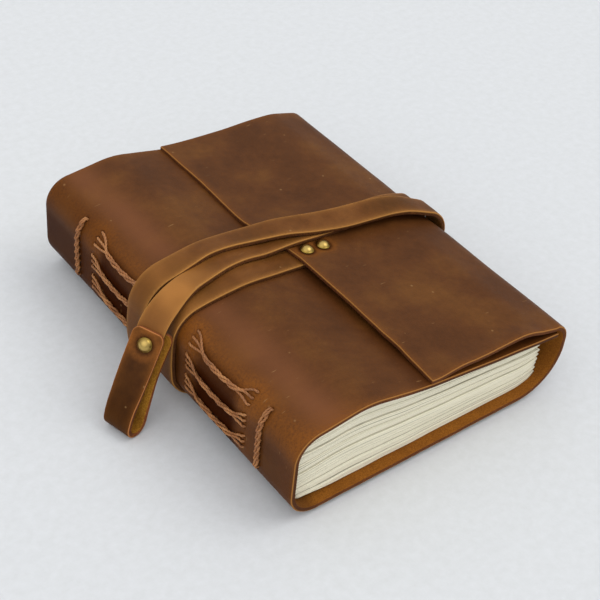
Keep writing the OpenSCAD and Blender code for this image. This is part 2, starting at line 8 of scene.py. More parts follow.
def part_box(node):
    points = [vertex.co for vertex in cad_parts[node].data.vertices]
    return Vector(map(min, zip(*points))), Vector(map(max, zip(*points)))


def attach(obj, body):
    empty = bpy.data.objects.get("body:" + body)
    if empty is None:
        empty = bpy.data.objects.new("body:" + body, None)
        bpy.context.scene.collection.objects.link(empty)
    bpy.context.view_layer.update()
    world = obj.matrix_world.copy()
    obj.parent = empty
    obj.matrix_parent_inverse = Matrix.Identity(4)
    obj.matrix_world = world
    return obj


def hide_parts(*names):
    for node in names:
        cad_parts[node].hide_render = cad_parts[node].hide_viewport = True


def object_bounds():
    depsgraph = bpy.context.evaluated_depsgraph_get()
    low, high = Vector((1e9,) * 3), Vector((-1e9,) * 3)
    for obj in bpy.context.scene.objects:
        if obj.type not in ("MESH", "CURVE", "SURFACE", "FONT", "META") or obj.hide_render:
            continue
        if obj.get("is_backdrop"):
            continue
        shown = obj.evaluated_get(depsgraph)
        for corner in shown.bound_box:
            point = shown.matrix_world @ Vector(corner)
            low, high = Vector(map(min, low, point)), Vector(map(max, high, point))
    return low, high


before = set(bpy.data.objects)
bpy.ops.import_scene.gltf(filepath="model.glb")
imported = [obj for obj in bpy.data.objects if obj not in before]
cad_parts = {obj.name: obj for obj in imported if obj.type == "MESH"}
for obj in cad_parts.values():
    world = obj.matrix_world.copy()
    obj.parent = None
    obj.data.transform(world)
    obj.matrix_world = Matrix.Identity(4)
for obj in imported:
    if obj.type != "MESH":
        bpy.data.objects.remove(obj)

cad_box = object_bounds()

# The cover is one piece of pull-up cowhide, 2 mm thick. It is cut to a long rectangle with
# a knife, wraps the pages from the upper cover round the spine and the fore-edge, and ends
# in the flap. Its edges are left raw. Lengths are in mm from the near end of the spine.
COVER_LEN = 180
LEATHER = 2
SPINE_H = 40.3
SHOULDER_R = 12
HEEL_R = 13
CROWN = (33, 44.4)
SLOPE = (60, 38.3)
UPPER_EDGE = (133, 30)
FOLD_X = 138.8
FOLD_LOW_R = 21
FOLD_TOP_R = 9.5
FOLD_H = 32.6
FLAP_BEND = (119, 38)
FLAP_MID = (92, 39.15)
FLAP_END = (58.6, 43.05)
cover_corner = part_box("cover")[0]


def place(p):
    """A point given in mm on the journal, in the scene's metres."""
    return tuple(cover_corner[k] + p[k] / 1000 for k in range(3))


def mix(a, b, f):
    return a + (b - a) * f


def smooth(f):
    c = max(0.0, min(1.0, f))
    return c * c * (3 - 2 * c)


def along(table, x):
    """Reads a table of (x, value) pairs at x."""
    if x <= table[0][0]:
        return table[0][1]
    for (x0, v0), (x1, v1) in zip(table, table[1:]):
        if x <= x1:
            return mix(v0, v1, (x - x0) / (x1 - x0))
    return table[-1][1]


def run_lengths(points):
    """Length of a line up to each of its points."""
    lengths = [0.0]
    for p, q in zip(points, points[1:]):
        lengths.append(lengths[-1] + (q - p).length)
    return lengths


def span_at(lengths, s):
    """The span of a line that holds the length s, and how far into it s lies, from 0 to 1."""
    low, high = 0, len(lengths) - 1
    while high - low > 1:
        middle = (low + high) // 2
        if lengths[middle] <= s:
            low = middle
        else:
            high = middle
    return low, (s - lengths[low]) / max(1e-9, lengths[low + 1] - lengths[low])


class Outline:
    """A line of rounded corners in the x-z plane, which can be walked by its length."""

    def __init__(self, places, radii, step=0.5):
        line = [Vector(places[0])]
        spans = []
        for a, b, c, r in zip(places, places[1:], places[2:], radii):
            a, b, c = Vector(a), Vector(b), Vector(c)
            u = (a - b).normalized()
            v = (c - b).normalized()
            half = math.acos(u.dot(v)) / 2
            centre = b + (u + v).normalized() * r / math.sin(half)
            start = b + u * r / math.tan(half) - centre
            turn = math.pi - 2 * half
            if u.x * v.y - u.y * v.x > 0:
                turn = -turn
            n = max(4, int(r * abs(turn) / step))
            spans.append((len(line), len(line) + n))
            for i in range(n + 1):
                g = turn * i / n
                line.append(centre + Vector((
                    start.x * math.cos(g) - start.y * math.sin(g),
                    start.x * math.sin(g) + start.y * math.cos(g))))
        line.append(Vector(places[-1]))
        self.points = line
        self.lengths = run_lengths(line)
        self.total = self.lengths[-1]
        self.bends = [(self.lengths[i], self.lengths[j]) for i, j in spans]

    def at(self, s):
        """Place and outward normal at a length along the line."""
        low, f = span_at(self.lengths, s)
        p, q = self.points[low], self.points[low + 1]
        before = self.points[max(0, low - 1)]
        after = self.points[min(len(self.points) - 1, low + 2)]
        start, end = (q - before).normalized(), (after - p).normalized()
        t = start.lerp(end, max(0, min(1, f))).normalized()
        return p.lerp(q, f), Vector((t.y, -t.x))

    def nearest(self, x, z):
        """Length along the line of its place nearest to x, z."""
        here = Vector((x, z))
        found = []
        for i in range(len(self.points) - 1):
            run = self.points[i + 1] - self.points[i]
            if run.length > 1e-6:
                f = max(0.0, min(1.0, (here - self.points[i]).dot(run) / run.length_squared))
                off = (self.points[i] + run * f - here).length
                found.append((off, self.lengths[i] + run.length * f))
        return min(found)[1]

    def height(self, x, start, end):
        """Height of the line at x, between two lengths where x only falls."""
        for i in range(len(self.points) - 1):
            if start <= self.lengths[i] <= end:
                p, q = self.points[i], self.points[i + 1]
                if p.x >= x > q.x:
                    return mix(p.y, q.y, (p.x - x) / (p.x - q.x))
        return self.points[-1].y


face = Outline(
    [UPPER_EDGE, SLOPE, CROWN, (0, SPINE_H), (0, 0), (FOLD_X, 0), (FOLD_X, FOLD_H),
     FLAP_BEND, FLAP_MID, FLAP_END],
    [150, 40, SHOULDER_R, HEEL_R, FOLD_LOW_R, FOLD_TOP_R, 30, 120])
crown_bend, shoulder_bend, heel_bend, fold_bend, top_bend = face.bends[1:6]


def upper_height(x):
    return face.height(x, 0, shoulder_bend[1])


def flap_height(x):
    return face.height(x, top_bend[0], face.total)


def spine_out(h):
    """Direction out of the spine, at a height measured round its heel and shoulder."""
    if h < HEEL_R:
        g = (HEEL_R - h) / HEEL_R
        return Vector((-math.cos(g), 0, -math.sin(g)))
    g = max(0.0, (h - SHOULDER_Z) / SHOULDER_R)
    return Vector((-math.cos(g), 0, math.sin(g)))


def on_spine(y, h, out):
    """A place on the spine: y along it, h round it, out from the leather."""
    n = spine_out(h)
    if h < HEEL_R:
        return Vector((HEEL_R, y, HEEL_R)) + n * (HEEL_R + out)
    if h < SHOULDER_Z:
        return Vector((-out, y, h))
    return Vector((SHOULDER_R, y, SHOULDER_Z)) + n * (SHOULDER_R + out)


shoulder_turn = math.pi / 2 - math.atan((CROWN[1] - SPINE_H) / CROWN[0])
SHOULDER_Z = SPINE_H - SHOULDER_R * math.tan(shoulder_turn / 2)

# Holes for the thread, punched through the spine: (y, height round the spine, radius)
BUNDLE_LOW = 16
BUNDLE_GAP = 11
HOLE_GAP = 3
NEAR_GROUP = (30.5, 69.5)
FAR_GROUP = (97.5, 140.5)
CHAIN_ROWS = (21, 152)
CHAIN_LOW = 11.4
CHAIN_TOP = 40.2
CHAIN_LINKS = 8
chain_step = (CHAIN_TOP - CHAIN_LOW) / CHAIN_LINKS
holes = []
for y in NEAR_GROUP + FAR_GROUP:
    for i in range(3):
        for k in (-1, 0, 1):
            holes.append((y, BUNDLE_LOW + i * BUNDLE_GAP + k * HOLE_GAP, 0.6))
for y in CHAIN_ROWS:
    for i in range(CHAIN_LINKS + 1):
        holes.append((y, CHAIN_LOW + i * chain_step, 0.75))
holes = [(y, face.nearest(*on_spine(y, h, 0).xz), r) for y, h, r in holes]

# The two rivets press the flap down round their caps, as the third does the tab
RIVET_X = 69
RIVET_GAP = 8.4
RIVET_Y = 85.6
PRESS_R = 3.3
PRESS_FADE = 3
PRESS_DEEP = 0.45
presses = []
for x in (RIVET_X, RIVET_X + RIVET_GAP):
    presses.append((RIVET_Y, face.nearest(x, flap_height(x))))

# The flap's free edge was cut by hand, a little off the straight: (y, x)
flap_cut = [(0, 63.5), (20, 63.9), (31, 63.3), (56, 63.3), (82, 62.7), (93, 61.5),
            (111, 58.3), (117.5, 57.8), (149, 58.8), (180, 58.2)]
# It lies low at its ends and stands on the strap in the middle: (y, height of its edge)
flap_rise = [(0, 40.5), (12, 41.0), (25, 42.2), (45, 42.9), (60, 43.0), (75, 43.05),
             (100, 43.0), (106, 42.0), (114, 40.9), (125, 40.5), (180, 40.45)]
flap_start = top_bend[1] + 8
flap_steep = (FLAP_MID[0] - FLAP_END[0]) / math.hypot(FLAP_MID[0] - FLAP_END[0],
                                                      FLAP_END[1] - FLAP_MID[1])


def ripple(x, y, size, seed=0.0):
    """Soft hand-worked unevenness, from -1 to 1."""
    return noise.noise(Vector((x / size, y / size, seed)))


def cut_to_line(u, v):
    """Length round the book with the flap's end drawn back to its hand-cut line."""
    if u < flap_start:
        return u
    cut = face.total - (along(flap_cut, v) - FLAP_END[0]) / flap_steep
    cut += 0.18 * ripple(v, 3, 9, 5.0)
    return flap_start + (u - flap_start) * (cut - flap_start) / (face.total - flap_start)


def press(d):
    """How deep a rivet presses the leather, at a distance from its middle."""
    return PRESS_DEEP * (1 - smooth((d - PRESS_R) / PRESS_FADE))


def cover_at(u, v, w):
    """Place of a point of the hide: u round the book, v along it, w below the grain side."""
    u = cut_to_line(u, v)
    p, n = face.at(u)
    x, z = p
    swell = 0.16 * ripple(u, v, 30) - 0.08
    if x < 14 and shoulder_bend[0] < u < fold_bend[0]:
        swell *= 0.5
    w = w - swell
    for y0, u0, r in holes:
        if abs(v - y0) < 2.4:
            d2 = (v - y0) ** 2 + (u - u0) ** 2
            if d2 < 8:
                w += 0.75 * math.exp(-d2 / (r * r)) + 0.16 * math.exp(-d2 / 2.6)
    for y0, u0 in presses:
        w += press(math.hypot(v - y0, u - u0))
    x -= n.x * w
    z -= n.y * w
    if u > top_bend[1]:
        drop = FLAP_END[1] - along(flap_rise, v)
        z -= drop * smooth((112 - x) / 50)
        lip = smooth((11 - v) / 11)
        bow = 1.5 * smooth((x - 66) / 12) * smooth((124 - x) / 14)
        z += lip * (bow - 0.5 * smooth((x - 108) / 14))
        z += lip * 0.25 * ripple(x, 0, 7, 2.0) * smooth((x - 68) / 8)
    if u < crown_bend[0]:
        z += 0.5 * smooth((10 - v) / 10) * smooth((x - 116) / 16)
    pinch = 0.6 * math.exp(-((v - 90) / 13) ** 2)
    if fold_bend[0] < u < top_bend[1] + 6:
        x -= pinch * smooth((u - fold_bend[0]) / 24) * smooth((top_bend[1] + 6 - u) / 10)
    end = 0.12 * ripple(u, 0 if v < 90 else 50, 14, 9.0)
    v = max(0.0, min(COVER_LEN, v + end * (1 if v < 90 else -1) + 0.06))
    return x, v, z


def cover_marks(u, v, p):
    """How much the hide is worn warm, made darker (over the spine, and with painted shade between
    parts, in holes and beside the flap) and paler (bend wear with a painted highlight) at a point.
    """
    x, y, z = p
    d_end = min(v, COVER_LEN - v)
    d_cut = min(u, face.total - u)
    edge = math.exp(-min(d_end, d_cut) / 1.3)
    warm = 0.6 * edge
    dark = 0.0
    spine = smooth((u - shoulder_bend[0] + 2) / 9) * smooth((heel_bend[1] + 3 - u) / 8)
    if spine > 0:
        dark += 0.42 * spine * smooth((u - shoulder_bend[0] - 12) / 10)
        # Painted shade on the spine between the ropes of each stitch group, where the ropes shade
        # it; the warmer hide at the groups' ends is wear
        for a, b in (NEAR_GROUP, FAR_GROUP):
            inside = smooth((v - a - 3) / 7) * smooth((b - 3 - v) / 7)
            dark += 0.62 * inside * spine * smooth((u - shoulder_bend[0] - 6) / 7)
            for side in (a, b):
                warm += 0.75 * spine * math.exp(-((v - side) / 6.5) ** 2)
    warm += 0.62 * math.exp(-((u - shoulder_bend[0] - 9) / 7) ** 2)
    # Paling: a painted highlight band along the crest just before the shoulder, partly also hide
    # paled by bending
    cloudy = 0.75 + 0.5 * ripple(u, v, 24, 6.0)
    pale = 0.75 * math.exp(-((u - shoulder_bend[0] + 6) / 8) ** 2) * cloudy
    # Painted shadow on the upper cover beside and under the flap's raised free edge
    if u < crown_bend[0]:
        dark += 0.4 * smooth((x - 53) / 9)
    # The spine is made darker towards its far end
    dark += 0.36 * spine * smooth((v - 110) / 40)
    near_corner = smooth((14 - v) / 14) * smooth((u - crown_bend[0]) / 20)
    warm += 0.35 * near_corner * (1 if u < heel_bend[1] else 0)
    # Painted shade in the crease round each rivet cap; the warmer ring beyond it is wear
    for y0, u0 in presses:
        d = math.hypot(v - y0, cut_to_line(u, v) - u0)
        dark += 0.8 * math.exp(-((d - PRESS_R) / 0.7) ** 2)
        warm += 0.55 * math.exp(-((d - 5) / 1.1) ** 2)
    # Painted shade inside each thread hole
    for y0, u0, r in holes:
        if abs(v - y0) < 3 and abs(u - u0) < 3:
            d2 = (v - y0) ** 2 + (u - u0) ** 2
            dark += 1.3 * math.exp(-d2 / (r * r))
    return warm, dark, pale


def leather_slab(name, us, vs, thick, at, marks, rim=0.42):
    """A closed sheet of leather. Its faces are grain side, flesh side and cut edge."""
    steps = [0.0, 0.15, 0.5, 1.0]

    def ends(values, r):
        first, last = values[0], values[-1]
        bevel = [(r * e, r * (1 - math.sqrt(1 - (1 - e) ** 2))) for e in steps]
        inner = [(t, 0.0) for t in values if first + 1.3 * r < t < last - 1.3 * r]
        head = [(first + d, w) for d, w in bevel]
        tail = [(last - d, w) for d, w in reversed(bevel)]
        return head + inner + tail

    verts, tags, faces, kinds = [], [], [], []
    for side, r in ((0, rim), (1, rim * 0.7)):
        for u, wu in ends(us, r):
            for v, wv in ends(vs, r):
                w = min(r, wu + wv)
                w = thick - w if side else w
                verts.append(at(u, v, w))
                tags.append((u, v, w))
        if side == 0:
            nu, nv = len(ends(us, r)), len(ends(vs, r))
            grain_n = len(verts)
    for i in range(nu - 1):
        for j in range(nv - 1):
            a = i * nv + j
            rimmed = i < 2 or j < 2 or i > nu - 4 or j > nv - 4
            faces.append((a, a + 1, a + nv + 1, a + nv))
            kinds.append(2 if rimmed else 0)
            b = grain_n + a
            faces.append((b, b + nv, b + nv + 1, b + 1))
            kinds.append(2 if rimmed else 1)
    loop = [i * nv for i in range(nu)] + [(nu - 1) * nv + j for j in range(1, nv)]
    loop += [i * nv + nv - 1 for i in range(nu - 2, -1, -1)] + [j for j in range(nv - 2, 0, -1)]
    for a, b in zip(loop, loop[1:] + loop[:1]):
        faces.append((a, b, grain_n + b, grain_n + a))
        kinds.append(2)
    piece = mesh_piece(name, [place(p) for p in verts], faces, kinds)
    # Marks at each point: warm wear, darkening (partly painted shade) and paling (partly a painted
    # highlight)
    worn = [marks(t[0], t[1], p) for t, p in zip(tags, verts)]
    put_marks(piece, "sheet", "FLOAT_VECTOR", "vector", [c for t in tags for c in t])
    for k, mark in enumerate(("warm", "dark", "pale")):
        put_marks(piece, mark, "FLOAT", "value", [max(0.0, min(1.0, m[k])) for m in worn])
    return piece


def mesh_piece(name, verts, faces, kinds=None):
    """A smooth-shaded object from points in metres, with a material number for each face."""
    mesh = bpy.data.meshes.new(name)
    mesh.from_pydata(verts, [], faces)
    if kinds:
        mesh.polygons.foreach_set("material_index", kinds)
    mesh.polygons.foreach_set("use_smooth", [True] * len(mesh.polygons))
    mesh.update()
    piece = bpy.data.objects.new(name, mesh)
    bpy.context.scene.collection.objects.link(piece)
    return piece


def put_marks(piece, name, kind, field, values):
    layer = piece.data.attributes.new(name, kind, "POINT")
    layer.data.foreach_set(field, values)


def stations(start, end, step, close=()):
    """Rising values from start to end, closer together inside the ranges of close."""
    values = [start]
    while values[-1] < end:
        here = values[-1]
        size = step
        for low, high, fine in close:
            if low - fine <= here <= high:
                size = min(size, fine)
            elif here < low:
                size = min(size, max(fine, low - here))
        values.append(min(end, here + size))
    return values


spine_span = (face.nearest(*on_spine(0, CHAIN_TOP + 2, 0).xz),
              face.nearest(*on_spine(0, CHAIN_LOW - 2, 0).xz))
rivet_span = (presses[1][1] - 6, presses[0][1] + 11)
cover_us = stations(0, face.total, 2.0, [spine_span + (0.6,), rivet_span + (0.7,)])
cover_vs = stations(0, COVER_LEN, 2.2, sorted(
    [(y - 1.3, y + 1.3, 0.5) for y in NEAR_GROUP + FAR_GROUP + CHAIN_ROWS]
    + [(RIVET_Y - 6, RIVET_Y + 6, 0.7)]))
hide = leather_slab("cover_hide", cover_us, cover_vs, LEATHER, cover_at, cover_marks)


def srgb(code):
    """A colour written as a hex sRGB value, as linear red, green, blue and alpha."""
    parts = [int(code[i:i + 2], 16) / 255 for i in (1, 3, 5)]
    return tuple(c / 12.92 if c <= 0.04045 else ((c + 0.055) / 1.055) ** 2.4 for c in parts) + (1,)


def add(tree, kind, settings=None, inputs=None):
    """Adds a node, sets its properties, and fills or links its inputs."""
    made = tree.nodes.new(kind)
    for key, value in (settings or {}).items():
        if key == "stops":
            ramp = made.color_ramp.elements
            while len(ramp) < len(value):
                ramp.new(0.5)
            for stop, (at, colour) in zip(ramp, value):
                stop.position = at
                stop.color = colour
        else:
            setattr(made, key, value)
    for key, value in (inputs or {}).items():
        if isinstance(value, bpy.types.NodeSocket):
            tree.links.new(value, made.inputs[key])
        else:
            made.inputs[key].default_value = value
    return made


def blank(name):
    """A new material with an empty node tree and its output."""
    material = bpy.data.materials.new(name)
    material.use_nodes = True
    tree = material.node_tree
    tree.nodes.clear()
    return material, tree, add(tree, "ShaderNodeOutputMaterial")


def carried(tree, name, output="Fac"):
    """A mark that the mesh carries at its points."""
    return add(tree, "ShaderNodeAttribute", {"attribute_name": name}).outputs[output]


def patches(tree, where, scale, detail, roughness=0.5):
    """Cloudy noise from 0 to 1, with its patches about 1 / scale across."""
    return add(tree, "ShaderNodeTexNoise", None, {
        "Vector": where, "Scale": scale, "Detail": detail, "Roughness": roughness}).outputs[0]


def remap(tree, value, low, high, to_low=0.0, to_high=1.0):
    """Stretches the values from low to high over a new range, and clamps them to it."""
    return add(tree, "ShaderNodeMapRange", None, {
        "Value": value, "From Min": low, "From Max": high,
        "To Min": to_low, "To Max": to_high}).outputs[0]


def maths(tree, operation, *values):
    """One operation on numbers or sockets."""
    return add(tree, "ShaderNodeMath", {"operation": operation}, dict(enumerate(values))).outputs[0]


def shades(tree, value, *stops):
    """A colour ramp through pairs of a value and a hex colour."""
    ramp = [(at, srgb(code)) for at, code in stops]
    return add(tree, "ShaderNodeValToRGB", {"stops": ramp}, {"Fac": value}).outputs[0]


def tint(tree, amount, tone, code):
    """Mixes a hex colour into a tone."""
    return add(tree, "ShaderNodeMix", {"data_type": "RGBA"}, {
        0: amount, 6: tone, 7: srgb(code)}).outputs[2]


def bumps(tree, height, distance, strength):
    """Small relief that only the light sees, with its depth in metres."""
    return add(tree, "ShaderNodeBump", None, {
        "Height": height, "Distance": distance, "Strength": strength}).outputs[0]


def dress(tree, out, inputs):
    """Ends a material with its shader."""
    shader = add(tree, "ShaderNodeBsdfPrincipled", None, inputs)
    tree.links.new(shader.outputs[0], out.inputs[0])


def grain_leather(name, base, light, deep, warm, dark, pale, speckle=0.8, sheen=0.46):
    """Grain side of oiled pull-up cowhide: cloudy brown, paler where it was bent or rubbed, with
    painted highlights and painted shade laid on by the marks.
    """
    material, tree, out = blank(name)
    sheet = carried(tree, "sheet", "Vector")
    dark_and_shade_mark = carried(tree, "dark")
    # Oil clouds, 20 to 40 mm across
    clouds = patches(tree, sheet, 0.034, 4.0, 0.55)
    tone = shades(tree, clouds, (0.36, deep), (0.5, base), (0.66, light))
    # Finer mottling, 3 to 5 mm and 1 mm across
    mottle = remap(tree, patches(tree, sheet, 0.28, 5.0, 0.6), 0.3, 0.7, 0.9, 1.1)
    fine = patches(tree, sheet, 1.1, 6.0, 0.7)
    mottle = maths(tree, "MULTIPLY", mottle, remap(tree, fine, 0.3, 0.7, 0.91, 1.09))
    grey = add(tree, "ShaderNodeCombineColor", None, {0: mottle, 1: mottle, 2: mottle}).outputs[0]
    tone = add(tree, "ShaderNodeMix", {"data_type": "RGBA", "blend_type": "MULTIPLY"}, {
        0: 1.0, 6: tone, 7: grey}).outputs[2]
    # Paler where the mark says: bend wear and a painted highlight
    tone = tint(tree, carried(tree, "pale"), tone, pale)
    # Pull-up: worn places break into specks. Real ones are 0.4 mm, drawn 1 mm so they show
    specks = remap(tree, patches(tree, sheet, 0.9, 6.0, 0.8), 0.36, 0.62,
                   1 - speckle, 1 + 0.6 * speckle)
    warm_mark = add(tree, "ShaderNodeMath", {"operation": "MULTIPLY", "use_clamp": True}, {
        0: carried(tree, "warm"), 1: specks}).outputs[0]
    tone = tint(tree, warm_mark, tone, warm)
    # Darker where the mark says: the spine's darker hide and painted shade
    tone = tint(tree, dark_and_shade_mark, tone, dark)
    # Scratches and nicks: thin pale lines and dots, a few cm apart
    drawn_out = add(tree, "ShaderNodeMapping", None, {
        "Vector": sheet, "Rotation": (0, 0, 2.3), "Scale": (0.12, 0.9, 1)}).outputs[0]
    scratches = remap(tree, patches(tree, drawn_out, 1.0, 2.0, 0.4), 0.74, 0.78)
    nicks = add(tree, "ShaderNodeTexVoronoi", None, {"Vector": sheet, "Scale": 0.09}).outputs[0]
    nicks = remap(tree, nicks, 0.06, 0.03)
    scuff = maths(tree, "MULTIPLY", maths(tree, "MAXIMUM", scratches, nicks), 0.35)
    tone = tint(tree, scuff, tone, "#B08858")
    # Pores: the real ones are 0.2 mm, drawn 0.8 mm wide so that they show at all
    pores = add(tree, "ShaderNodeTexVoronoi", {"feature": "DISTANCE_TO_EDGE"}, {
        "Vector": sheet, "Scale": 1.25}).outputs[0]
    relief = maths(tree, "MULTIPLY_ADD", remap(tree, pores, 0.0, 0.16), 0.35, fine)
    # Places marked darker are matt with oil and dye, and so are those given painted shade
    dress(tree, out, {
        "Base Color": tone, "IOR": 1.46, "Normal": bumps(tree, relief, 0.00009, 0.55),
        "Roughness": remap(tree, fine, 0.3, 0.7, sheen - 0.05, sheen + 0.08),
        "Specular IOR Level": remap(tree, dark_and_shade_mark, 0.0, 1.0, 0.12, 0.01)})
    return material


def fibre_leather(name, base, pale, deep, lip=None):
    """Raw side of the hide: matt suede fibres, dry and brighter than the oiled face."""
    material, tree, out = blank(name)
    sheet = carried(tree, "sheet", "Vector")
    # Fibre tufts: 0.1 mm in the real nap, drawn 0.6 mm so that they show
    tufts = patches(tree, sheet, 1.6, 5.0, 0.75)
    tone = shades(tree, tufts, (0.32, deep), (0.5, base), (0.7, pale))
    clouds = remap(tree, patches(tree, sheet, 0.12, 3.0), 0.3, 0.7, 0.0, 0.4)
    tone = tint(tree, clouds, tone, deep)
    # The darkening mark reaches the raw side too, mostly as painted shade at the thread holes
    tone = tint(tree, carried(tree, "dark"), tone, "#2E1A0E")
    if lip:
        # A knife leaves the top of the edge pale and rubbed, and its foot darker with oil; the pale
        # top is partly a painted highlight on the rim
        depth = add(tree, "ShaderNodeSeparateXYZ", None, {0: sheet}).outputs[2]
        tone = tint(tree, remap(tree, depth, 0.3, 0.7, 1.0, 0.0), tone, lip)
    dress(tree, out, {
        "Base Color": tone, "Roughness": 0.92, "Normal": bumps(tree, tufts, 0.0002, 0.8),
        "Specular IOR Level": 0.2})
    return material


# Waxed pull-up cowhide: the oiled grain side, the suede flesh side and the raw cut edge
# The grain's last two colours are for darkening, partly painted shade, and for paling, partly a
# painted highlight
hide.data.materials.append(grain_leather(
    "pull_up_cowhide_grain", "#5B3517", "#68401B", "#522F14", "#7E4918", "#331404", "#7C4C2E"))
hide.data.materials.append(fibre_leather("cowhide_flesh_side", "#8E5616", "#A86C22", "#6E3E0E"))
hide.data.materials.append(fibre_leather(
    "cowhide_cut_edge", "#683A1A", "#855026", "#44220E", "#A57036"))
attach(hide, "root")
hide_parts("cover")

# The pages are nine signatures of uncoated cream paper. Each is a stack of sheets folded
# once and sewn through its fold to the spine, so its fore-edge ends in a blunt point. They
# were cut before they were sewn, and never trimmed flush.
SIGNATURES = 9
LAYERS = 8
PAGE_EDGE_X = 129.6
PAGE_INSET = 4.8
NOTCH = 2.2
GROOVE = 2.3
PAGE_SKIN = LEATHER + 0.22
page_face = (shoulder_bend[0] + 2 / 7 * (shoulder_bend[1] - shoulder_bend[0]),
             heel_bend[0] + 5 / 7 * (heel_bend[1] - heel_bend[0]))


def page_top(x):
    return upper_height(x + 0.1) - PAGE_SKIN - 0.03


def page_bottom(x):
    bend_x = FOLD_X - FOLD_LOW_R
    if x < bend_x:
        return LEATHER + 0.12
    r = FOLD_LOW_R - LEATHER - 0.3
    return FOLD_LOW_R - math.sqrt(r * r - (x - bend_x) ** 2) - 0.18


def page_point(f, t, fold):
    """A point in section: f up through the pages, t from the spine to the fore-edge."""
    root, n = face.at(mix(page_face[1], page_face[0], f))
    g = f * SIGNATURES - fold
    inward = PAGE_SKIN + GROOVE * (1 - math.sqrt(max(0.0, 1 - (2 * g - 1) ** 2)))
    root = root - n * inward
    edge = PAGE_EDGE_X - NOTCH * abs(2 * g - 1) ** 1.15
    x = mix(root.x, edge, t)
    level = mix(page_bottom(x), page_top(x), f)
    return x, mix(root.y, level, smooth((x - root.x) / 21) ** 0.8)


def signature(k, verts, leaves, faces):
    """Adds one signature: a box of points on its six sides, bent to the pages' section."""
    rng = random.Random(40 + k)
    across = [0, 0.012, 0.03, 0.06, 0.1] + [0.1 + 0.9 * i / 38 for i in range(1, 38)] + [0.985, 1]
    nx, ny = len(across) - 1, 14
    shift = rng.uniform(-0.25, 0.35)
    jitter = [[rng.uniform(-0.14, 0.14) for _ in range(LAYERS + 1)] for _ in range(2)]
    index = {}

    def point(i, j, q):
        key = (i, j, q)
        if key not in index:
            f = (k + j / LAYERS) / SIGNATURES
            g = 2 * j / LAYERS - 1
            x, z = page_point(f, across[i], k)
            if k == 0 and j > LAYERS - 3:
                z -= 0.5 * smooth((x - 4) / 8) * smooth((62 - x) / 45)
            pull = 0.3 * abs(g) ** 5 + shift + 0.25 * ripple(x, f * 60, 14)
            low = PAGE_INSET + pull + jitter[0][j]
            high = COVER_LEN - PAGE_INSET - pull - jitter[1][j]
            y = mix(low, high, q / ny)
            gap = 0.15 * (abs(g) ** 4) * (1 if g > 0 else -1)
            if 0 < f < 1:
                z -= gap
            index[key] = len(verts)
            verts.append(place((x, y, z)))
            leaves.extend((x, y, f * SIGNATURES))
        return index[key]

    def quad(*corners):
        faces.append(tuple(point(*corner) for corner in corners))

    for i in range(nx):
        for j in range(LAYERS):
            quad((i, j, 0), (i + 1, j, 0), (i + 1, j + 1, 0), (i, j + 1, 0))
            quad((i, j, ny), (i, j + 1, ny), (i + 1, j + 1, ny), (i + 1, j, ny))
        for q in range(ny):
            quad((i, LAYERS, q), (i + 1, LAYERS, q), (i + 1, LAYERS, q + 1), (i, LAYERS, q + 1))
            quad((i, 0, q), (i, 0, q + 1), (i + 1, 0, q + 1), (i + 1, 0, q))
    for j in range(LAYERS):
        for q in range(ny):
            quad((0, j, q), (0, j + 1, q), (0, j + 1, q + 1), (0, j, q + 1))
            quad((nx, j, q), (nx, j, q + 1), (nx, j + 1, q + 1), (nx, j + 1, q))


page_verts, page_leaves, page_faces = [], [], []
for k in range(SIGNATURES):
    signature(k, page_verts, page_leaves, page_faces)
pages = mesh_piece("page_signatures", page_verts, page_faces)
put_marks(pages, "leaf", "FLOAT_VECTOR", "vector", page_leaves)

# Uncoated cream paper seen on its cut edges: matt, with a shadow line between some sheets.
# The sheets are 0.17 mm apart, drawn 0.4 mm apart and in clumps, as the eye sees them.
paper, tree, out = blank("uncoated_cream_paper")
leaf = carried(tree, "leaf", "Vector")
parts = add(tree, "ShaderNodeSeparateXYZ", None, {0: leaf}).outputs
wander = patches(tree, leaf, 0.012, 1.0)
stack = add(tree, "ShaderNodeCombineXYZ", None, {
    0: maths(tree, "MULTIPLY", parts[0], 0.0005),
    1: maths(tree, "MULTIPLY", parts[1], 0.0005),
    2: maths(tree, "MULTIPLY_ADD", wander, 0.25, parts[2])}).outputs[0]
sheets = patches(tree, stack, 9.0, 2.0, 0.6)
clumps = patches(tree, stack, 2.6, 1.0, 0.4)
shade = tint(tree, remap(tree, sheets, 0.36, 0.52, 0.8, 0.0), srgb("#FAF4DC"), "#E2DCC0")
# A crisp line at each fold's end, and wherever the two patterns pass a set level
fold_end = maths(tree, "FRACT", parts[2])
for pattern, level, width, strong in ((sheets, 0.56, 0.018, 0.3), (clumps, 0.47, 0.014, 0.6),
                                      (fold_end, 0.0, 0.05, 0.4), (fold_end, 1.0, 0.05, 0.4)):
    off = maths(tree, "ABSOLUTE", maths(tree, "SUBTRACT", pattern, level))
    line = remap(tree, off, 0.3 * width, width, strong, 0.0)
    shade = tint(tree, line, shade, "#77755E")
tooth = maths(tree, "MULTIPLY_ADD", patches(tree, leaf, 2.5, 4.0), 0.4, sheets)
dress(tree, out, {
    "Base Color": shade, "Roughness": 0.9, "Normal": bumps(tree, tooth, 0.00015, 0.6),
    "Specular IOR Level": 0.3})
pages.data.materials.append(paper)
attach(pages, "root")
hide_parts("page_block")

# The long stitches: brick-coloured waxed linen thread, 1 mm thick and laid up from two
# plies. Three threads leave three holes, are twisted round each other by hand along the
# spine, and part again to three holes.
THREAD_D = 0.95
TWIST_R = 0.55
TWIST_PITCH = 17
FAN_NEAR = 7
FAN_FAR = 12.5
ROPE_SAG = 2.6


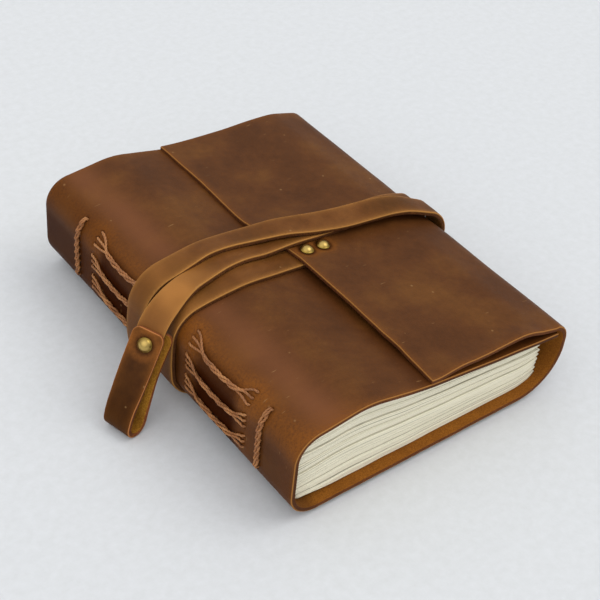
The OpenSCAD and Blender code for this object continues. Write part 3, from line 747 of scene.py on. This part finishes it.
def thread_points(points, step=0.35):
    """Fills a smooth line through the points, with the same curve on both sides of each."""
    n = len(points)
    gaps = [(points[i + 1] - points[i]).length for i in range(n - 1)]
    tangents = []
    for i in range(n):
        if i == 0:
            tangents.append((points[1] - points[0]) / gaps[0])
        elif i == n - 1:
            tangents.append((points[-1] - points[-2]) / gaps[-1])
        else:
            a = (points[i] - points[i - 1]) / gaps[i - 1]
            b = (points[i + 1] - points[i]) / gaps[i]
            tangents.append((a * gaps[i] + b * gaps[i - 1]) / (gaps[i] + gaps[i - 1]))
    line = []
    for i in range(n - 1):
        m = max(1, int(round(gaps[i] / step)))
        for j in range(m):
            t = j / m
            line.append(points[i] * (2 * t ** 3 - 3 * t ** 2 + 1)
                        + tangents[i] * gaps[i] * (t ** 3 - 2 * t ** 2 + t)
                        + points[i + 1] * (3 * t ** 2 - 2 * t ** 3)
                        + tangents[i + 1] * gaps[i] * (t ** 3 - t ** 2))
    line.append(points[-1])
    return line


def sweep_thread(line, d, verts, marks, faces, seed, sides=10, pitch=3.4):
    """Sweeps a two-ply thread along a line: its section is a soft figure of eight that turns."""
    start = len(verts)
    normal = Vector((0.15, 0.25, 1))
    run = 0.0
    for i, p in enumerate(line):
        t = (line[min(len(line) - 1, i + 1)] - line[max(0, i - 1)]).normalized()
        normal = (normal - t * normal.dot(t)).normalized()
        side = t.cross(normal)
        if i:
            run += (p - line[i - 1]).length
        twist = 2 * math.pi * run / pitch
        wax = 1 + 0.2 * noise.noise(Vector((run / 1.5, seed, 0)))
        for k in range(sides):
            g = 2 * math.pi * k / sides
            ply = 1 + 0.13 * math.cos(2 * (g - twist))
            q = p + (normal * math.cos(g) + side * math.sin(g)) * d / 2 * ply * wax
            verts.append(place(q))
            marks.append(0.5 + 0.5 * math.cos(2 * (g - twist)))
    n = len(line)
    for i in range(n - 1):
        for k in range(sides):
            a = start + i * sides + k
            b = start + i * sides + (k + 1) % sides
            faces.append((a, b, b + sides, a + sides))
    faces.append(tuple(start + k for k in reversed(range(sides))))
    faces.append(tuple(start + (n - 1) * sides + k for k in range(sides)))


def strand(bundle, k, a, b):
    """One thread of a bundle, from its hole at a to its hole at b."""
    middle = BUNDLE_LOW + bundle * BUNDLE_GAP
    h0 = middle + (k - 1) * HOLE_GAP
    span = b - a
    rope_out = TWIST_R + THREAD_D / 2
    rest_out = THREAD_D / 2 - 0.05
    points = [on_spine(a - 0.1, h0, -1.6), on_spine(a, h0, -0.2)]
    y = 0.7
    while y < span - 0.6:
        grip = smooth(min(y / FAN_NEAR, (span - y) / FAN_FAR))
        turn = 2 * math.pi * ((y - FAN_NEAR) / TWIST_PITCH + (1 - k) / 3)
        turn += 0.5 * ripple(y, bundle * 9 + a, 8)
        edge = min(1, min(y, span - y) / 3)
        sag = ROPE_SAG * math.sin(math.pi * y / span) + 0.2 * ripple(y, bundle * 9 + a, 6, 2.0)
        loose = TWIST_R * (1 + 0.7 * ripple(y, bundle * 5 + a, 4, 4.0 + k))
        points.append(on_spine(
            a + y, mix(h0, middle - sag - loose * math.sin(turn), grip),
            mix(rest_out, rope_out + loose * math.cos(turn), grip * edge)))
        y += 0.9
    points += [on_spine(b, h0, -0.2), on_spine(b + 0.1, h0, -1.6)]
    return points


# Waxed linen: a dry, slightly shiny brick thread, with painted shade in the lay between its plies
waxed, tree, out = blank("waxed_linen_thread")
where = add(tree, "ShaderNodeTexCoord").outputs["Object"]
# Fibres: 0.02 mm in linen, drawn 0.4 mm so that they show
fibres = patches(tree, where, 2400.0, 3.0, 0.7)
soil = patches(tree, where, 160.0, 2.0)
tone = shades(tree, soil, (0.3, "#7E4A22"), (0.5, "#9E6232"), (0.7, "#B87E48"))
# Painted shade in the lay between the two plies
tone = tint(tree, remap(tree, carried(tree, "ply"), 0.0, 0.5, 0.5, 0.0), tone, "#4E2610")
tone = tint(tree, remap(tree, fibres, 0.45, 0.7, 0.0, 0.35), tone, "#D0A068")
dress(tree, out, {
    "Base Color": tone, "Roughness": 0.62, "Normal": bumps(tree, fibres, 0.00008, 0.6)})


def finish_thread(name, node, lines, d):
    """Makes one piece of swept threads, which stands for a CAD node."""
    verts, marks, faces = [], [], []
    for number, line in enumerate(lines):
        sweep_thread(line, d, verts, marks, faces, number * 3.7)
    piece = mesh_piece(name, verts, faces)
    put_marks(piece, "ply", "FLOAT", "value", marks)
    piece.data.materials.append(waxed)
    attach(piece, "root")
    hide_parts(node)


for group, (a, b) in (("near", NEAR_GROUP), ("far", FAR_GROUP)):
    for bundle, level in enumerate(("bottom", "middle", "top")):
        finish_thread(
            f"{group}_rope_{level}", f"{group}_stitch_{level}",
            [thread_points(strand(bundle, k, a, b)) for k in range(3)], THREAD_D)

# The chain stitches near the head and the tail: the same thread, drawn tighter. Each loop
# comes out of one hole and is caught round the legs of the next, up the spine.
CHAIN_D = 0.95
LEG_Y = 0.45
LOOP_Y = 0.74


def chain_link(y, h, last):
    """One loop: out of its hole, round the legs of the next one, and back."""
    low = CHAIN_D / 2 + 0.02
    high = CHAIN_D * 1.3
    legs = [(LEG_Y, 0, -1.2), (LEG_Y, 0, -0.1), (LEG_Y, 0.2, high * 0.6),
            (LEG_Y * 1.1, CHAIN_D * 1.3, high)]
    if last:
        legs += [(LEG_Y * 1.1, chain_step * 0.7, low * 1.6), (LEG_Y, chain_step - 0.15, low),
                 (LEG_Y, chain_step, -0.1), (LEG_Y, chain_step, -1.2)]
        return [[on_spine(y + e * q[0], h + q[1], q[2]) for q in legs] for e in (1, -1)]
    legs += [(mix(LEG_Y, LOOP_Y, 0.6), chain_step * 0.6, mix(low, high, 0.4)),
             (LOOP_Y, chain_step * 0.85, low), (LOOP_Y, chain_step + CHAIN_D * 0.4, low),
             (LOOP_Y * 0.62, chain_step + CHAIN_D * 1.35, low)]
    line = [on_spine(y + q[0], h + q[1], q[2]) for q in legs]
    line.append(on_spine(y, h + chain_step + CHAIN_D * 1.6, low))
    line += [on_spine(y - q[0], h + q[1], q[2]) for q in reversed(legs)]
    return [line]


for group, y in (("near", CHAIN_ROWS[0]), ("far", CHAIN_ROWS[1])):
    lines = []
    for i in range(CHAIN_LINKS):
        h = CHAIN_LOW + i * chain_step
        lines += [thread_points(p, 0.25) for p in chain_link(y, h, i == CHAIN_LINKS - 1)]
    finish_thread(f"{group}_chain", f"chain_stitch_{group}", lines, CHAIN_D)

# The strap: one 11.5 mm strip of lighter pull-up cowhide, as thick as the cover. It starts
# under the flap, where two rivets hold it, runs down the spine, goes twice round the book,
# and comes off the shoulder to the pull tab.
STRAP_W = 11.5
STRAP_T = 2
SEAT = 0.2
HUG = SEAT + STRAP_T / 2
PILE = STRAP_T + SEAT
RUN_Y = 82
OVER_Y = 85.8
BACK_Y = 100
LAST_Y = 95.4
OVER_THREAD = 2.16
TAB_W = 13
TAB_LEN = 43.8
TAB_OPEN = 5.4
TAB_SKEW = 2.2
TAB_ABOVE = 6.3
TAB_YAW = math.radians(13.3)
TILT_TOP = -32
TILT_FOOT = -14.5
tab_rivet = Vector((-13.5, RUN_Y - 3.8, SPINE_H - 6.3))
tab_drop = tab_rivet.z + PILE - 0.7 * (TAB_OPEN / 2 + STRAP_T)
tab_reach = math.sqrt((TAB_LEN - TAB_ABOVE) ** 2 - tab_drop ** 2)
tab_run = Vector((-tab_reach * math.cos(TAB_YAW), -tab_reach * math.sin(TAB_YAW),
                  -tab_drop)).normalized()


def ribbon_frame(t, tilt):
    """Across and facing directions of a strip that runs along t."""
    up = Vector((t.z, 0, -t.x)).normalized()
    flat = up.cross(t)
    g = math.radians(tilt)
    return flat * math.cos(g) + up * math.sin(g), up * math.cos(g) - flat * math.sin(g)


def wrap(span, d0, d1, y0, y1):
    """Route points that follow a bend of the cover, a distance out from it."""
    points = []
    for i in range(8):
        f = i / 7
        p, n = face.at(mix(span[0], span[1], f))
        p = p + n * mix(d0, d1, f)
        points.append((p.x, mix(y0, y1, f), p.y, 0))
    return points


def on_cover(x, y, up, tilt=0):
    return (x, y, upper_height(x) + HUG + up, tilt)


def on_flap(x, y, up, tilt=0):
    return (x, y, flap_height(x) + HUG + up, tilt)


tab_side, tab_face = ribbon_frame(tab_run, TILT_TOP)
# Route points: across the book, along it, height of the strap's middle, tilt in degrees
strap_end_x = RIVET_X + RIVET_GAP + 6
first_leg = [on_cover(x, RIVET_Y, 0)
             for x in (strap_end_x, RIVET_X + RIVET_GAP, RIVET_X, SLOPE[0] + 3)]
first_leg += [on_cover(SLOPE[0] - 9, RUN_Y + 2, 0), on_cover(CROWN[0] + 8, RUN_Y + 0.8, 0)]
first_leg += wrap(crown_bend, HUG, HUG, RUN_Y + 0.4, RUN_Y + 0.3)
first_leg += wrap(shoulder_bend, HUG, HUG, RUN_Y + 0.25, RUN_Y + 0.1)
first_leg += wrap(heel_bend, HUG, HUG, RUN_Y + 0.1, RUN_Y)
first_pass = [(HEEL_R + 2, RUN_Y, -HUG, 0), (FOLD_X - FOLD_LOW_R - 2, OVER_Y - 1, -HUG, 0)]
first_pass += wrap(fold_bend, HUG, HUG + PILE, OVER_Y - 1, OVER_Y - 0.6)
first_pass += wrap(top_bend, HUG + PILE, HUG + PILE + 0.3, OVER_Y - 0.4, OVER_Y + 0.4)
first_pass += [
    on_flap(FLAP_BEND[0] + 9, OVER_Y + 1.4, PILE + 1.2, -2),
    on_flap(FLAP_BEND[0] + 4, OVER_Y + 2.4, PILE + 1.8, -4),
    on_flap(FLAP_BEND[0] - 3, OVER_Y + 3.4, PILE + 2.1, -6),
    on_flap(FLAP_BEND[0] - 15, OVER_Y + 5, PILE + 2, -9),
    on_flap(FLAP_MID[0], OVER_Y + 6.6, PILE + 1.6, -10),
    on_flap(SLOPE[0] + 16, OVER_Y + 9.2, PILE + 1.1, -6),
    on_flap(SLOPE[0] + 3, OVER_Y + 12, PILE + 1, 1),
    on_cover(SLOPE[0] - 9, OVER_Y + 14.6, PILE + 2.6, 7),
    on_cover(CROWN[0] + 5, OVER_Y + 16.2, PILE / 2 + 1.2, 11),
    on_cover(CROWN[0] - 5, OVER_Y + 16.6, PILE / 2 + 0.9, 11),
    on_cover(SHOULDER_R + 8, OVER_Y + 15.4, OVER_THREAD, 6)]
first_pass += wrap(shoulder_bend, HUG + OVER_THREAD, HUG + OVER_THREAD, OVER_Y + 14.5, BACK_Y)
first_pass += wrap(heel_bend, HUG + OVER_THREAD, HUG, BACK_Y, BACK_Y - 0.2)
last_pass = [(HEEL_R + 2, BACK_Y - 0.2, -HUG, 0),
             (FOLD_X - FOLD_LOW_R - 2, LAST_Y + 1.8, -HUG, 0)]
last_pass += wrap(fold_bend, HUG, HUG, LAST_Y + 1.8, LAST_Y + 1.8)
last_pass += wrap(top_bend, HUG, HUG, LAST_Y + 1, LAST_Y)
last_pass += [
    on_flap(FLAP_BEND[0] + 4, LAST_Y, 0.6),
    on_flap(FLAP_BEND[0] - 9, LAST_Y, 0.35),
    on_flap(FLAP_MID[0], LAST_Y - 0.2, 0),
    on_flap(SLOPE[0] + 16, LAST_Y - 0.6, 0),
    on_flap(SLOPE[0] + 3, LAST_Y - 1.1, 0.3),
    on_cover(SLOPE[0] - 9, LAST_Y - 1.8, PILE + 0.4, 4),
    on_cover(CROWN[0] + 5, LAST_Y - 2.2, PILE / 2 + 0.6, 9),
    on_cover(CROWN[0] - 5, LAST_Y - 3.6, PILE / 2 + 0.4, 11),
    on_cover(SHOULDER_R + 8, LAST_Y - 5.3, PILE / 2 + 0.8, 11),
    (SHOULDER_R, LAST_Y - 6.6, SPINE_H + 5.8, 7),
    (SHOULDER_R - 7, LAST_Y - 9.4, SPINE_H + 4.6, -4),
    (SHOULDER_R - 13, LAST_Y - 11.8, SPINE_H + 3.1, -14),
    (SHOULDER_R - 17.2, LAST_Y - 13.7, SPINE_H + 1, -24)]
tail_deep = STRAP_T + SEAT + STRAP_T / 2
tail = []
for s in (-1.2, TAB_ABOVE, 2 * TAB_ABOVE - 0.3):
    p = tab_rivet + tab_run * (s - TAB_ABOVE) - tab_face * tail_deep
    tail.append((p.x, p.y, p.z, TILT_TOP))


class Route:
    """A strip's middle line with its frames, filled in smoothly and walked by its length."""

    def __init__(self, points, framed, step, soften=0):
        middles = [Vector(p[:3]) for p in points]
        self.places = thread_points(middles, step)
        for turn in range(soften):
            old = [p.copy() for p in self.places]
            for i in range(1, len(old) - 1):
                change = (old[i - 1] + old[i + 1]) / 2 - old[i]
                self.places[i].y += change.y / 2
                if turn % 4 == 0 and abs(change.z) < 0.03:
                    self.places[i].z += change.z / 2
        self.lengths = run_lengths(self.places)
        self.total = self.lengths[-1]
        marks = [0]
        for a, b in zip(middles, middles[1:]):
            marks.append(marks[-1] + max(1, int(round((b - a).length / step))))
        self.frames = []
        for i, p in enumerate(self.places):
            k = max(j for j in range(len(marks)) if marks[j] <= i)
            k = min(k, len(marks) - 2)
            f = (i - marks[k]) / (marks[k + 1] - marks[k])
            before = self.places[max(0, i - 1)]
            after = self.places[min(len(self.places) - 1, i + 1)]
            t = (after - before).normalized()
            self.frames.append(framed(k, f, t))
        for _ in range(soften // 6):
            old = list(self.frames)
            for i in range(1, len(old) - 1):
                self.frames[i] = tuple(
                    (old[i - 1][k] + 2 * old[i][k] + old[i + 1][k]).normalized() for k in range(2))

    def at(self, s):
        low, f = span_at(self.lengths, s)
        side = self.frames[low][0].lerp(self.frames[low + 1][0], f).normalized()
        out = self.frames[low][1].lerp(self.frames[low + 1][1], f).normalized()
        return self.places[low].lerp(self.places[low + 1], f), side, out


route_points = first_leg + first_pass + last_pass + tail
strap_route = Route(
    route_points,
    lambda k, f, t: ribbon_frame(t, mix(route_points[k][3], route_points[k + 1][3], smooth(f))),
    1.2, 60)


def strap_at(u, v, w):
    p, side, out = strap_route.at(u)
    half = STRAP_W / 2
    v = (v - half) * (1 + 0.012 * ripple(u, 2, 25, 3.0)) + 0.16 * ripple(u, 7, 18, 8.0)
    cup = 0.1 * (abs(v) / half) ** 2
    q = p + side * v + out * (STRAP_T / 2 - w - cup)
    return q.x, q.y, q.z


def strap_marks(u, v, p):
    edge = math.exp(-min(v, STRAP_W - v) / 0.8)
    # Paler over the shoulder bend: partly pull-up wear, partly a painted highlight where the strap
    # faces the light; strongest on the last pass
    bend = math.exp(-((p[0] - 8) / 13) ** 2) * (1 if p[2] > 30 else 0.3)
    bend_wear_and_highlight = 0.55 * bend * (1 + 0.6 * ripple(u, v, 9, 2.0))
    return 0.8 * edge, 0.0, bend_wear_and_highlight * (1.7 if u > strap_route.total - 105 else 0.6)


strap = leather_slab(
    "wound_strap", stations(0, strap_route.total, 1.8), [STRAP_W * i / 9 for i in range(10)],
    STRAP_T, strap_at, strap_marks, rim=0.4)
# The same waxed hide from a lighter dye lot, with its flesh side and raw edges
# Its last colour, for paling, is partly a painted highlight
strap.data.materials.append(grain_leather(
    "pull_up_cowhide_strap", "#673D18", "#764A22", "#593511", "#AC7638", "#3A200E", "#A66F36",
    speckle=0.4, sheen=0.5))
strap.data.materials.append(fibre_leather("strap_flesh_side", "#8A5A1E", "#A87830", "#6A4214"))
strap.data.materials.append(fibre_leather(
    "strap_cut_edge", "#62391A", "#825224", "#40240E", "#B88242"))
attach(strap, "root")
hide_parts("strap")

# The pull tab: a short strip of the cover's leather, folded in half round the end of the
# strap and riveted through all three layers. Its fold rests on the table and stays open.
TAB_STACK = 3 * STRAP_T + 2 * SEAT
TAB_GRIP = TAB_ABOVE * 2 + 0.6
TAB_CORNER = 3
loop_r = (TAB_OPEN + STRAP_T) / 2
loop_s = TAB_LEN - loop_r - STRAP_T / 2
layer_s = [0.2, 1, TAB_CORNER, TAB_ABOVE, TAB_GRIP, 18, 23, 28, 33]


def tab_gap(s):
    closed = TAB_STACK - STRAP_T
    return closed + (TAB_OPEN + STRAP_T - closed) * smooth((s - TAB_GRIP) / (TAB_LEN - TAB_GRIP))


tab_path = [(s, STRAP_T / 2, 0) for s in layer_s]
for i in range(9):
    g = math.radians(-90 + 22.5 * i)
    tab_path.append((loop_s + loop_r * math.cos(g), STRAP_T / 2 + loop_r + loop_r * math.sin(g),
                     0.3 + 0.35 * i / 8))
for s in reversed(layer_s):
    tab_path.append((s, STRAP_T / 2 + tab_gap(s), 1 - 0.35 * s / loop_s))


def tab_frame(s):
    twist = mix(TILT_TOP, TILT_FOOT, smooth((s - TAB_GRIP) / (loop_s - TAB_GRIP)))
    return ribbon_frame(tab_run, twist)


tab_points = []
for i, (s, deep, skew) in enumerate(tab_path):
    side, out = tab_frame(s)
    tab_points.append(tuple(tab_rivet + tab_run * (s - TAB_ABOVE) - out * deep
                            + side * TAB_SKEW * (0 if i < len(layer_s) else skew)) + (s,))


def tab_strip_frame(k, f, t):
    side = tab_frame(mix(tab_points[k][3], tab_points[k + 1][3], f))[0]
    side = (side - t * side.dot(t)).normalized()
    return side, t.cross(side)


tab_route = Route(tab_points, tab_strip_frame, 0.8)


def tab_at(u, v, w):
    p, side, out = tab_route.at(u)
    end = min(u, tab_route.total - u)
    width = 1.0
    if end < TAB_CORNER:
        width -= 2 * (TAB_CORNER - math.sqrt(TAB_CORNER ** 2 - (TAB_CORNER - end) ** 2)) / TAB_W
    v = (v - TAB_W / 2) * width * (1 + 0.02 * ripple(u, 2, 16, 3.0))
    d = math.hypot(v, u - TAB_ABOVE)
    w += press(d)
    q = p + side * v + out * (STRAP_T / 2 - w)
    return q.x, q.y, q.z


def tab_marks(u, v, p):
    edge = math.exp(-min(v, TAB_W - v, u, tab_route.total - u) / 0.9)
    # The warmer ring is wear; the darkening at the cap's edge and on the lower part of the first
    # layer, towards the table, is painted shade
    d = math.hypot(v - TAB_W / 2, u - TAB_ABOVE)
    ring = math.exp(-((d - 5.2) / 1.6) ** 2)
    shade = 0.5 * smooth((p[2] - 34) / -30) if u < tab_route.total / 2 else 0.0
    return 0.9 * edge + 0.5 * ring, 0.45 * math.exp(-((d - 3.2) / 0.6) ** 2) + shade, 0.0


tab = leather_slab(
    "folded_tab", stations(0, tab_route.total, 1.0), [TAB_W * i / 12 for i in range(13)],
    STRAP_T, tab_at, tab_marks, rim=0.4)
# The cover's own hide, with its flesh side and raw edges
# Its darkening colour carries painted shade
tab.data.materials.append(grain_leather(
    "pull_up_cowhide_tab", "#57320F", "#6A4119", "#46260A", "#8E5420", "#2A1404", "#7C4C22",
    speckle=0.4))
tab.data.materials.append(fibre_leather("tab_flesh_side", "#A4701E", "#C48E38", "#6E4410"))
tab.data.materials.append(fibre_leather(
    "tab_cut_edge", "#8C4E26", "#AE6C3C", "#633016", "#B87844"))
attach(tab, "root")
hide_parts("pull_tab")

# The rivets: two-part brass rivets with an antique finish. A drawn dome with a rolled rim
# is hammered onto a post from behind, and sinks a little into the leather.
CAP_D = 6
CAP_H = 1.9
DIMPLE = 0.42
flap_slope = math.atan((FLAP_END[1] - FLAP_MID[1]) / (FLAP_MID[0] - FLAP_END[0]))

# Antique brass: yellow on the high spots, brown where the finish stays near the rim
brass, tree, out = blank("antiqued_brass")
where = add(tree, "ShaderNodeTexCoord").outputs["Object"]
stain = patches(tree, where, 900.0, 4.0, 0.6)
worn = maths(tree, "MULTIPLY_ADD", stain, 0.35, carried(tree, "rise"))
tone = shades(tree, worn, (0.12, "#4A3818"), (0.26, "#907634"), (0.95, "#BFA25E"))
dress(tree, out, {
    "Base Color": tone, "Metallic": 1.0, "Roughness": remap(tree, stain, 0.3, 0.7, 0.27, 0.38)})


def rivet_cap(name, node, origin, z_axis, x_axis):
    """A turned dome: (radius, height) from the middle to its rolled rim and its underside."""
    dome_r = ((CAP_D / 2) ** 2 + CAP_H ** 2) / (2 * CAP_H)
    profile = []
    for i in range(13):
        r = 2.72 * i / 12
        profile.append((r, CAP_H - dome_r + math.sqrt(dome_r ** 2 - r * r)))
    profile += [(2.9, 0.36), (3.02, 0.26), (3.06, 0.12), (3.02, 0.0), (2.7, -0.06), (1.3, -0.06)]
    y_axis = z_axis.cross(x_axis)
    verts, rises, faces = [], [], []
    turns = 40
    for r, h in profile:
        for k in range(turns):
            g = 2 * math.pi * k / turns
            q = origin + (x_axis * math.cos(g) + y_axis * math.sin(g)) * r + z_axis * (h - DIMPLE)
            verts.append(place(q))
            rises.append(max(0.0, h / CAP_H))
    for i in range(len(profile) - 1):
        for k in range(turns):
            a = i * turns + k
            b = i * turns + (k + 1) % turns
            faces.append((a, a + turns, b + turns, b))
    piece = mesh_piece(name, verts, faces)
    put_marks(piece, "rise", "FLOAT", "value", rises)
    piece.data.materials.append(brass)
    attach(piece, "root")
    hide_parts(node)


flap_up = Vector((math.sin(flap_slope), 0, math.cos(flap_slope)))
flap_along = Vector((math.cos(flap_slope), 0, -math.sin(flap_slope)))
for i in range(2):
    x = RIVET_X + i * RIVET_GAP
    rivet_cap(f"flap_dome_{i + 1}", f"flap_rivet_cap_{i + 1}",
              Vector((x, RIVET_Y, flap_height(x))), flap_up, flap_along)
rivet_cap("tab_dome", "tab_rivet_cap", tab_rivet, tab_face, tab_side)

# The posts stay as they are in the frame. Only their plates show, behind the tab: plain
# brass, brighter where it was rubbed.
post_brass, tree, out = blank("plain_brass_post")
where = add(tree, "ShaderNodeTexCoord").outputs["Object"]
rubbed = patches(tree, where, 1500.0, 3.0)
tone = shades(tree, rubbed, (0.3, "#7C6A34"), (0.7, "#B5A258"))
dress(tree, out, {
    "Base Color": tone, "Metallic": 1.0, "Roughness": remap(tree, rubbed, 0.3, 0.7, 0.3, 0.45)})
for name in ("flap_rivet_post_1", "flap_rivet_post_2", "tab_rivet_post"):
    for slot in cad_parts[name].material_slots:
        slot.material = post_brass

# The journal lies on a plain pale plaster table top in an even white room. A broad soft
# lamp stands over the fore-edge and the near end, and a broader one over the spine.
far = 3.0
table_corners = [(-far, -far, 0), (far, -far, 0), (far, far, 0), (-far, far, 0)]
table_top = mesh_piece("table_top", table_corners, [(0, 1, 2, 3)])
# Smoothed plaster, almost white, with trowel marks of a few mm
plaster, tree, out = blank("pale_plaster")
where = add(tree, "ShaderNodeTexCoord").outputs["Object"]
rubs = patches(tree, where, 260.0, 6.0, 0.65)
dress(tree, out, {
    "Base Color": shades(tree, rubs, (0.3, "#D5D8DB"), (0.7, "#DCDFE3")), "Roughness": 0.75,
    "Normal": bumps(tree, rubs, 0.0004, 0.2), "Specular IOR Level": 0.3})
table_top.data.materials.append(plaster)
table_top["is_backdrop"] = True

world = bpy.data.worlds.new("white_room")
bpy.context.scene.world = world
world.use_nodes = True
world.node_tree.nodes.clear()
tree = world.node_tree
height = add(tree, "ShaderNodeSeparateXYZ", None, {
    0: add(tree, "ShaderNodeTexCoord").outputs["Generated"]}).outputs[2]
light = remap(tree, height, 0.1, 1.0, 0.42, 1.02)
seen = add(tree, "ShaderNodeLightPath").outputs["Is Camera Ray"]
strength = add(tree, "ShaderNodeMix", None, {0: seen, 2: light, 3: 0.78}).outputs[0]
room = add(tree, "ShaderNodeBackground", None, {"Color": srgb("#FFFFFF"), "Strength": strength})
add(tree, "ShaderNodeOutputWorld", None, {0: room.outputs[0]})


def lamp(name, direction, spread, strength, colour):
    """A wide soft lamp, far enough away to light the whole table evenly."""
    data = bpy.data.lights.new(name, "SUN")
    data.angle = math.radians(spread)
    data.energy = strength
    data.color = srgb(colour)[:3]
    made = bpy.data.objects.new(name, data)
    made.location = Vector(direction).normalized()
    made.rotation_euler = Vector(direction).to_track_quat("Z", "Y").to_euler()
    bpy.context.scene.collection.objects.link(made)


lamp("window", (0.5, -0.3, 0.8), 40, 0.7, "#FFFDF8")
lamp("bounce", (-0.8, -0.35, 0.7), 70, 0.65, "#FFFFFF")

# The camera stands at the photograph's place: above the near end, on the spine's side
AZIMUTH = math.radians(-40.8)
ELEVATION = math.radians(40.42)
ROLL = math.radians(6.06)
DISTANCE = 564.16
back = Vector((math.sin(AZIMUTH) * math.cos(ELEVATION), -math.cos(AZIMUTH) * math.cos(ELEVATION),
               math.sin(ELEVATION)))
right = (-back).cross(Vector((0, 0, 1))).normalized()
up = right.cross(-back)
camera_right = right * math.cos(ROLL) + up * math.sin(ROLL)
camera_up = up * math.cos(ROLL) - right * math.sin(ROLL)
camera_data = bpy.data.cameras.new("photo_camera")
camera_data.sensor_width = 36
camera_data.lens = 80.23
camera_data.clip_start = 0.05
camera_data.clip_end = 20
camera = bpy.data.objects.new("photo_camera", camera_data)
bpy.context.scene.collection.objects.link(camera)
eye = Vector(place(Vector((67.68, 85.11, 15)) + back * DISTANCE))
camera.matrix_world = Matrix(
    [(camera_right[i], camera_up[i], back[i], eye[i]) for i in range(3)] + [(0, 0, 0, 1)])
bpy.context.scene.camera = camera
bpy.context.scene.view_settings.view_transform = "Standard"

boxes = {"cad": cad_box, "visual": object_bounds()}
{key: [list(corner) for corner in box] for key, box in boxes.items()}
